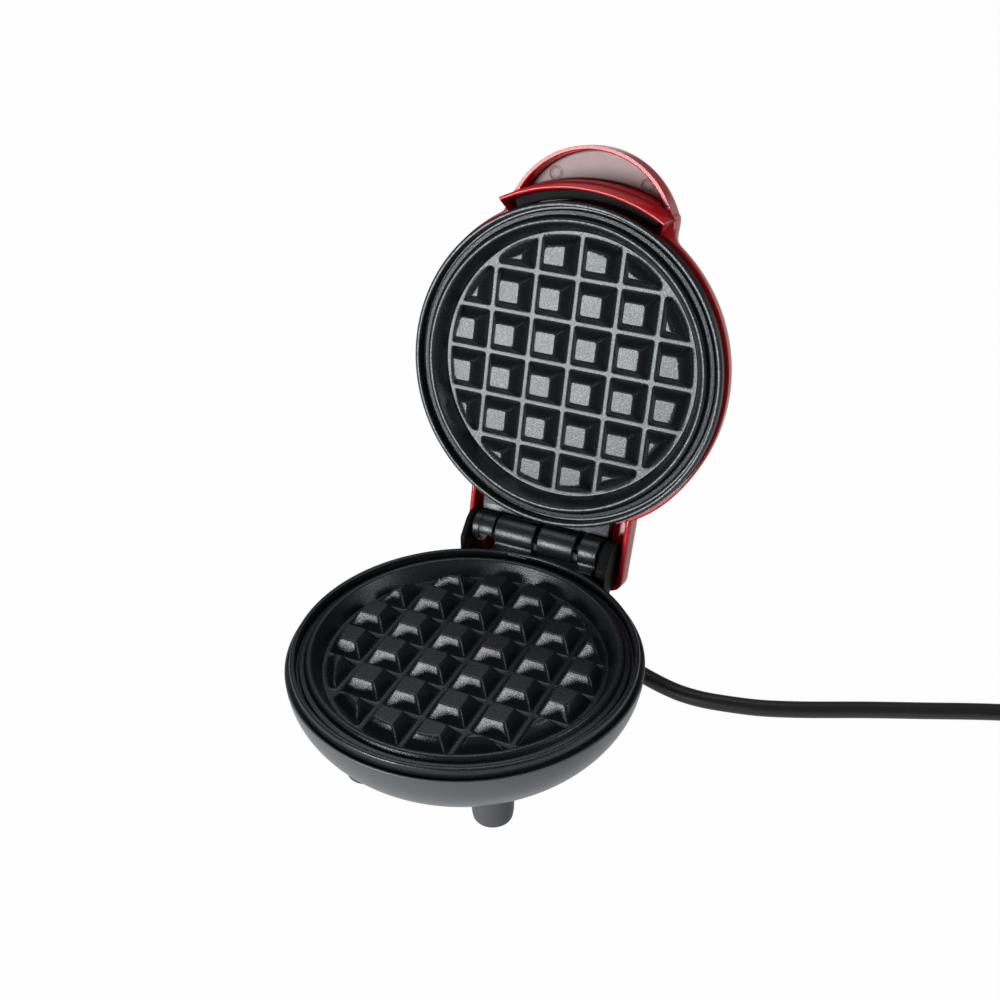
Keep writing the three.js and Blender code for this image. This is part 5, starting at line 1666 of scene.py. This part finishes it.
@dataclass
class LidParts:
    """Panel in the tab, inner ring, indicator and hidden parts of the lid."""

    panel_face: float = 25.2
    panel_back: float = 26.1
    panel_inset: float = 0.3
    panel_edge: float = 0.3
    panel_edge_width: float = 0.35
    mark_radius: float = 2.15
    mark_depth: float = 0.16
    mark_x: float = 17.6
    mark_y: float = -66.6
    groove_depth: float = 0.32
    groove_width: float = 0.26
    ring_inner: float = 59.6
    ring_outer: float = 63.2
    ring_low: float = 13.4
    ring_seam: float = 15.0
    ring_high: float = 16.7
    ring_angle: float = math.radians(26.0)
    ring_steps: int = 80
    lens_place: Triple = (0.0, -18.0, 0.0)
    lens_flange: float = 5.2
    lens_stem: float = 4.0
    lens_crown: float = 2.6
    lens_levels: tuple[float, ...] = (32.2, 33.2, 33.3, 36.0, 36.38, 36.42)

    def panel(self, shell: LidShell) -> Skin:
        """The panel: a fine grid over the tab's recess, with two round ejector marks.

        A mark is a shallow disc inside a groove twice as deep, which falls off as a bell curve of
        the distance to the mark's rim. The panel's edge turns over. Its pale pinkish grey is
        painted reflection of white light on the tab's glossy red.

        Args:
            shell: the lid whose recess the panel fills.

        Returns:
            The surface.
        """
        arc = shell.recess_arc + self.panel_inset
        radius = shell.tab_radius - shell.tab_wall - self.panel_inset
        meet = shell.recess_end(arc, radius)
        angle = np.linspace(-meet, meet, 150)[None]
        share = np.linspace(0.0, 1.0, 40)[:, None]
        far = shell.tab_reach(angle, radius)
        distance = arc + (far - arc) * share
        x, y = distance * np.sin(angle), -distance * np.cos(angle)
        z = np.full_like(x, self.panel_face)
        for side in (-1, 1):
            off_rim = np.hypot(x - side * self.mark_x, y - self.mark_y) - self.mark_radius
            z += self.mark_depth * (1 - smoothstep(off_rim, -0.25, 0.1))
            z += self.groove_depth * np.exp(-(off_rim / self.groove_width) ** 2)
        rim = np.minimum(distance - arc, far - distance)
        z += self.panel_edge * (1 - smoothstep(rim, 0.0, self.panel_edge_width))
        face = np.stack([x, y, z], axis=-1)
        back = face.copy()
        back[..., 2] = self.panel_back
        return joined([grid_skin(face), grid_skin(back[::-1]),
                       *(grid_skin(np.stack([face[k], back[k]])) for k in (0, -1)),
                       *(grid_skin(np.stack([face[:, k], back[:, k]])) for k in (0, -1))])

    def ring(self) -> Skin:
        """The dark crescent inside the lip: a rounded bar turned through its sector.

        Returns:
            The surface.
        """
        inner, outer = self.ring_inner, self.ring_outer
        shape = profile([(inner, self.ring_seam, 0), (inner, self.ring_low, 0.4), (outer, self.ring_low, 0.4),
                         (outer, self.ring_high, 0.3), (inner, self.ring_high, 0.3),
                         (inner, self.ring_seam, 0)])[:-1]
        front = -math.pi / 2
        bearings = np.linspace(front - self.ring_angle, front + self.ring_angle, self.ring_steps)
        return grid_skin(turned(shape, bearings), wrap_rows=True)

    def lens(self) -> Skin:
        """The amber lens: a shallow dome on a flanged stem, turned about its own line.

        Returns:
            The surface.
        """
        low, flange_top, stem_low, stem_top, crown, top = self.lens_levels
        shape = profile([(0, low, 0), (self.lens_flange, low, 0.1), (self.lens_flange, flange_top, 0.2),
                         (self.lens_stem, stem_low, 0.1), (self.lens_stem, stem_top, 0.5),
                         (self.lens_crown, crown, 1.4), (0, top, 0)], 6)
        return lathe(shape, 48).moved(self.lens_place)

    def build(self, shop: Workshop, shell: LidShell) -> None:
        """Makes the visible small parts of the lid and dresses the hidden ones.

        Args:
            shop: what makes the pieces.
            shell: the lid that they sit in.
        """
        # The panel's pale colour is painted reflection of white light on the red tab.
        shop.piece("tab_panel", self.panel(shell), PANEL_PAINTED_REFLECTION, Body.LID, ("handle_panel",), crease=60.0)
        shop.piece("lid_ring", self.ring(), BLACK, Body.LID, ("lid_inner_ring",))
        shop.piece("indicator", self.lens(), AMBER, Body.LID, ("indicator_lens",))
        shop.dress("neon_lamp", GLASS)
        for number in range(1, 5):
            shop.dress(f"lid_screw_{number}", STEEL)


# Base


@dataclass
class InnerWiring:
    """The lead inside the housing and the two sleeved wires to the lower heating element."""

    lead_radius: float = 2.1
    lead_level: float = -23.3
    lead_start: float = 2.3
    lead_straight: float = 3.0
    block_entry: tuple[float, float] = (10.3, 40.0)
    wire_radius: float = 1.1
    wire_foot: Triple = (5.0, 40.0, -19.0)
    element_radius: float = 36.0
    element_angle: float = 0.5
    element_level: float = -10.0

    def build(self, shop: Workshop, cord: MainsCord) -> None:
        """Makes the three wires.

        Args:
            shop: what makes the pieces.
            cord: the mains lead, whose inner end this one continues.
        """
        way = cord.way()
        first = np.array(cord.relief_start) - way * self.lead_start
        stop = np.array([*self.block_entry, self.lead_level])
        middle = (first + stop) / 2
        middle[2] = self.lead_level
        inside = smooth_path(np.array([first, first - way * self.lead_straight, middle,
                                       stop + [self.lead_straight, 0.0, 0.0], stop]))
        shop.piece("inner_cable", tube(inside, self.lead_radius), CORD, Body.BASE, ("inner_lead",),
                   crease=80.0)
        for side, name in ((-1, "live_wire"), (1, "neutral_wire")):
            angle = math.pi / 2 - side * self.element_angle
            end = np.array([self.element_radius * math.cos(angle), self.element_radius * math.sin(angle),
                            self.element_level])
            foot = np.array(self.wire_foot) * [side, 1.0, 1.0]
            rise = np.array([0.0, 0.0, (end[2] - foot[2]) / 3])
            path = smooth_path(np.array([foot, foot + rise, end - rise, end]))
            shop.piece(f"sleeved_{name}", tube(path, self.wire_radius, 12), SLEEVE, Body.BASE, (name,),
                       crease=80.0)


@dataclass
class BaseHousing:
    """The bowl with its rear block, shoulders, feet, screws, brackets and pin."""

    radius: float = 61.1
    top: float = 3.0
    depth: float = 37.0
    power: float = 2.0
    bottom: float = -29.6
    edge: float = 3.0
    edge_wall: float = 0.7
    wall: float = 2.0
    ledge_inner: float = 57.0
    ledge_top: float = 1.1
    ledge_low: float = -0.9
    notch_half: float = 24.7
    notch_low: float = -1.7
    wing_front: float = 33.0
    block_half: float = 21.5
    block_back: float = 71.0
    block_top: float = -1.75
    shoulder_half: float = 30.8
    shoulder_back: float = 62.5
    shoulder_low: float = -15.0
    shoulder_top: float = -5.0
    wing_corner: float = 7.0
    front_foot: tuple[float, float] = (24.1, -29.8)
    front_foot_top: float = -22.4
    foot_dimple: float = 3.6
    foot_dimple_depth: float = 0.7
    foot_sole: float = 4.2
    foot_sole_edge: float = 6.6
    foot_ankle: float = 7.0
    foot_ankle_height: float = 3.0
    foot_top_radius: float = 7.3
    screw_sunk: float = 0.3
    head_radius: float = 3.2
    head_crown: float = 1.6
    head_round: float = 0.5
    head_round_power: float = 2.2
    head_height: float = 2.0
    shank_radius: float = 1.6
    shank_length: float = 20.0
    shank_point: float = 0.6
    recess_depth: float = 1.0
    recess_arm: tuple[float, float] = (0.32, 0.55)
    recess_reach: tuple[float, float] = (1.55, 2.1)
    well_bore: float = 3.35
    well_radius: float = 4.3
    well_top: float = -28.0
    well_proud: float = 0.02
    arm_front: float = 56.28
    arm_toe: float = 62.0
    arm_low: float = -4.7
    arm_step: float = 8.4
    arm_heel: tuple[float, float] = (5.9, -3.2)
    arm_back: tuple[float, float] = (4.4, 4.0)
    arm_crown: tuple[float, float] = (-3.2, 5.85)
    arm_gap: float = 0.05
    ear_radius: float = 6.0
    left_bracket: tuple[float, float] = (-30.0, -27.9)
    right_bracket: tuple[float, float] = (24.8, 28.8)
    pin_radius: float = 2.1
    pin_inset: float = 0.3

    def radius_at(self, height: Array) -> Array:
        """Outer radius of the bowl at a height, a superellipse in depth."""
        share = np.clip((self.top - height) / self.depth, 0.0, 1.0)
        return self.radius * (1 - share ** self.power) ** (1 / self.power)

    def bowl(self) -> Skin:
        """The bowl's wall: the outer curve up, over the edge and down inside, turned about Z.

        Behind, where the plate's flange leaves the bowl, the wall stops below the flange.

        Returns:
            The surface.
        """
        share = np.sin(np.linspace(0.0, math.pi / 2, 30))
        height = self.bottom + (self.edge - 0.4 - self.bottom) * share
        outer = np.stack([self.radius_at(height), height], axis=-1)
        low = profile([(0, self.bottom, 0), (outer[0, 0] - 0.2, self.bottom, 1.4), (*outer[3], 0)], 6)
        mouth = self.radius - self.edge_wall
        under = float(self.radius_at(np.array(self.ledge_low))) - self.wall
        rim = profile([(*outer[-1], 0), (self.radius, self.edge, 0.3), (mouth, self.edge, 0.2),
                       (mouth, self.ledge_top, 0.1), (self.ledge_inner, self.ledge_top, 0.2),
                       (self.ledge_inner, self.ledge_low, 0.2), (under, self.ledge_low, 0)], 3)
        floor_level = self.bottom + self.wall
        inner = outer[::-1] - [self.wall, 0.0]
        inner = inner[(inner[:, 1] > floor_level) & (inner[:, 1] < self.ledge_low - 0.1)]
        floor = np.array([[inner[-1, 0], floor_level], [0.0, floor_level]])
        skin = lathe(np.vstack([low, outer[4:-1], rim, inner, floor]), 240)
        x, y, z = skin.points.T
        notched = (y > 0) & (np.abs(x) < self.notch_half) & (np.hypot(x, y) > self.ledge_inner - 1.0)
        skin.points[:, 2] = np.where(notched, np.minimum(z, self.notch_low), z)
        return skin

    def wing(self, half: float, back: float, low: float, high: float, bevel: float) -> Skin:
        """A block behind the bowl: a rounded plan outline carried upwards, its front inside the bowl.

        Args:
            half: half its width.
            back: how far back it reaches.
            low: its lower level.
            high: its upper level.
            bevel: radius of its rims.

        Returns:
            The surface.
        """
        front, corner = self.wing_front, self.wing_corner
        outline = rounded_outline([(-half, front, 0.5), (half, front, 0.5), (half, back, corner),
                                   (-half, back, corner)], 12)
        return slab(outline, low, high, bevel)

    def screw(self, x: float, y: float) -> Skin:
        """A pan-head screw with a cross recess: a polar height field on a turned shank.

        The recess is deep where a point lies near either of two crossed lines and near the middle.

        Args:
            x: its place along X.
            y: its place along Y.

        Returns:
            The surface.
        """
        low, rim = self.bottom + self.screw_sunk, self.head_radius
        spread = np.concatenate([[0.0], np.linspace(0.2, 2.4, 14), [2.7, 3.0, 3.15, rim]])[:, None]
        angle = np.linspace(0.0, TAU, 64, endpoint=False)[None]
        px, py = spread * np.cos(angle), spread * np.sin(angle)
        off_crown = np.clip((spread - self.head_crown) / (rim - self.head_crown), 0.0, 1.0)
        dome = low + self.head_round * off_crown ** self.head_round_power
        dip = 1 - smoothstep(np.minimum(np.abs(px), np.abs(py)), *self.recess_arm)
        dip *= 1 - smoothstep(spread, *self.recess_reach)
        head = np.stack([px, py, dome + self.recess_depth * dip], axis=-1)
        under, end = low + self.head_height, low + self.shank_length
        shank = lathe(np.array([[rim, low + self.head_round], [rim, under - 0.2], [rim - 0.15, under],
                                [self.shank_radius, under], [self.shank_radius, end],
                                [0.0, end + self.shank_point]]), 64)
        return joined([grid_skin(head, wrap_columns=True), shank]).moved((x, y, 0.0))

    def screw_well(self, x: float, y: float) -> Skin:
        """A shallow collar round a screw's head, standing in the bowl's floor.

        Args:
            x: its place along X.
            y: its place along Y.

        Returns:
            The surface.
        """
        low = self.bottom - self.well_proud
        shape = profile([(self.well_bore, self.well_top, 0), (self.well_bore, low, 0.12),
                         (self.well_radius, low, 0.2), (self.well_radius, self.well_top, 0)])
        collar = lathe(shape, 48).points.reshape(len(shape), 48, 3)
        return grid_skin(collar, wrap_rows=True, wrap_columns=True).moved((x, y, 0.0))

    def foot(self, x: float, y: float, high: float) -> Skin:
        """A tapering foot with a rounded sole and a shallow dimple under it.

        Args:
            x: its place along X.
            y: its place along Y.
            high: the level at which it meets the bowl.

        Returns:
            The surface.
        """
        roof = TABLE + self.foot_dimple_depth
        shape = profile([(0, roof, 0), (self.foot_dimple, roof, 0.5), (self.foot_sole, TABLE, 0.4),
                         (self.foot_sole_edge, TABLE, 0.8),
                         (self.foot_ankle, TABLE + self.foot_ankle_height, 0.6),
                         (self.foot_top_radius, high, 0.2), (0, high, 0)], 6)
        return lathe(shape, 72).moved((x, y, 0.0))

    def bracket(self, span: tuple[float, float]) -> Skin:
        """One upright arm with its round ear on the pin.

        Args:
            span: its left and right face.

        Returns:
            The surface.
        """
        heel, back, crown = ((HINGE_Y + dy, HINGE_Z + dz)
                             for dy, dz in (self.arm_heel, self.arm_back, self.arm_crown))
        arm = rounded_outline([(self.arm_front, self.arm_low, 0.4), (self.arm_toe, self.arm_low, 0.6),
                               (*heel, 2.0), (*back, 2.0), (*crown, 2.2),
                               (self.arm_front, self.arm_step, 0.9)], 6)
        return joined([slab(arm, span[0] + self.arm_gap, span[1] - self.arm_gap, 0.45, "yzx"),
                       axle(span, self.ear_radius, 0.0)])

    def pin(self) -> Skin:
        """The hinge pin, a rod whose bevelled ends stay inside the brackets."""
        span = (self.left_bracket[0] + self.pin_inset, self.right_bracket[1] - self.pin_inset)
        return axle(span, self.pin_radius, 0.0, 0.3, 40)

    def build(self, shop: Workshop, cord: MainsCord) -> None:
        """Makes the base's visible parts and dresses the hidden ones.

        Args:
            shop: what makes the pieces.
            cord: the mains lead, which goes on inside the housing.
        """
        spots = [(sx * SCREW_SPREAD, sy * SCREW_SPREAD) for sy in (-1, 1) for sx in (-1, 1)]
        shell = [self.bowl(),
                 self.wing(self.block_half, self.block_back, self.bottom, self.block_top, 1.6),
                 self.wing(self.shoulder_half, self.shoulder_back, self.shoulder_low, self.shoulder_top, 2.2)]
        shell += [self.screw_well(x, y) for x, y in spots]
        shop.piece("base_bowl", joined(shell), GREY, Body.BASE, ("base_housing",), crease=40.0)
        for number, (x, y) in enumerate(spots, 1):
            shop.piece(f"base_fixing_{number}", self.screw(x, y), STEEL, Body.BASE,
                       (f"base_screw_{number}",))
        for row, (x, y), high in (("front", self.front_foot, self.front_foot_top),
                                  ("rear", REAR_FOOT, self.bottom)):
            for side, name in ((-1, f"{row}_left"), (1, f"{row}_right")):
                shop.piece(f"{name}_foot", self.foot(side * x, y, high), FOOT, Body.BASE,
                           (f"foot_{name}",))
        for name, span in (("left", self.left_bracket), ("right", self.right_bracket)):
            shop.piece(f"{name}_bracket", self.bracket(span), BLACK, Body.BASE,
                       (f"hinge_bracket_{name}",))
        shop.piece("pin", self.pin(), ELEMENT, Body.BASE, ("hinge_pin",))
        InnerWiring().build(shop, cord)
        for name, finish in (("thermostat", BLACK), ("thermal_fuse", CERAMIC), ("terminal_block", CERAMIC)):
            shop.dress(name, finish)


def main() -> None:
    """Builds the camera, the lead and every part of the object, and reports each piece."""
    logging.basicConfig(level=logging.INFO, format="%(name)s %(message)s")
    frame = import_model()
    datum = Datum.from_foot()
    shop = Workshop(datum, frame["nodes"])
    studio = Studio()
    studio.camera(datum)
    cord = MainsCord()
    cord.build(shop)
    CookingPlate().build(shop)
    shell = LidShell()
    shell.build(shop)
    LidParts().build(shop, shell)
    BaseHousing().build(shop, cord)
    studio.build(datum)


if __name__ == "__main__":
    main()
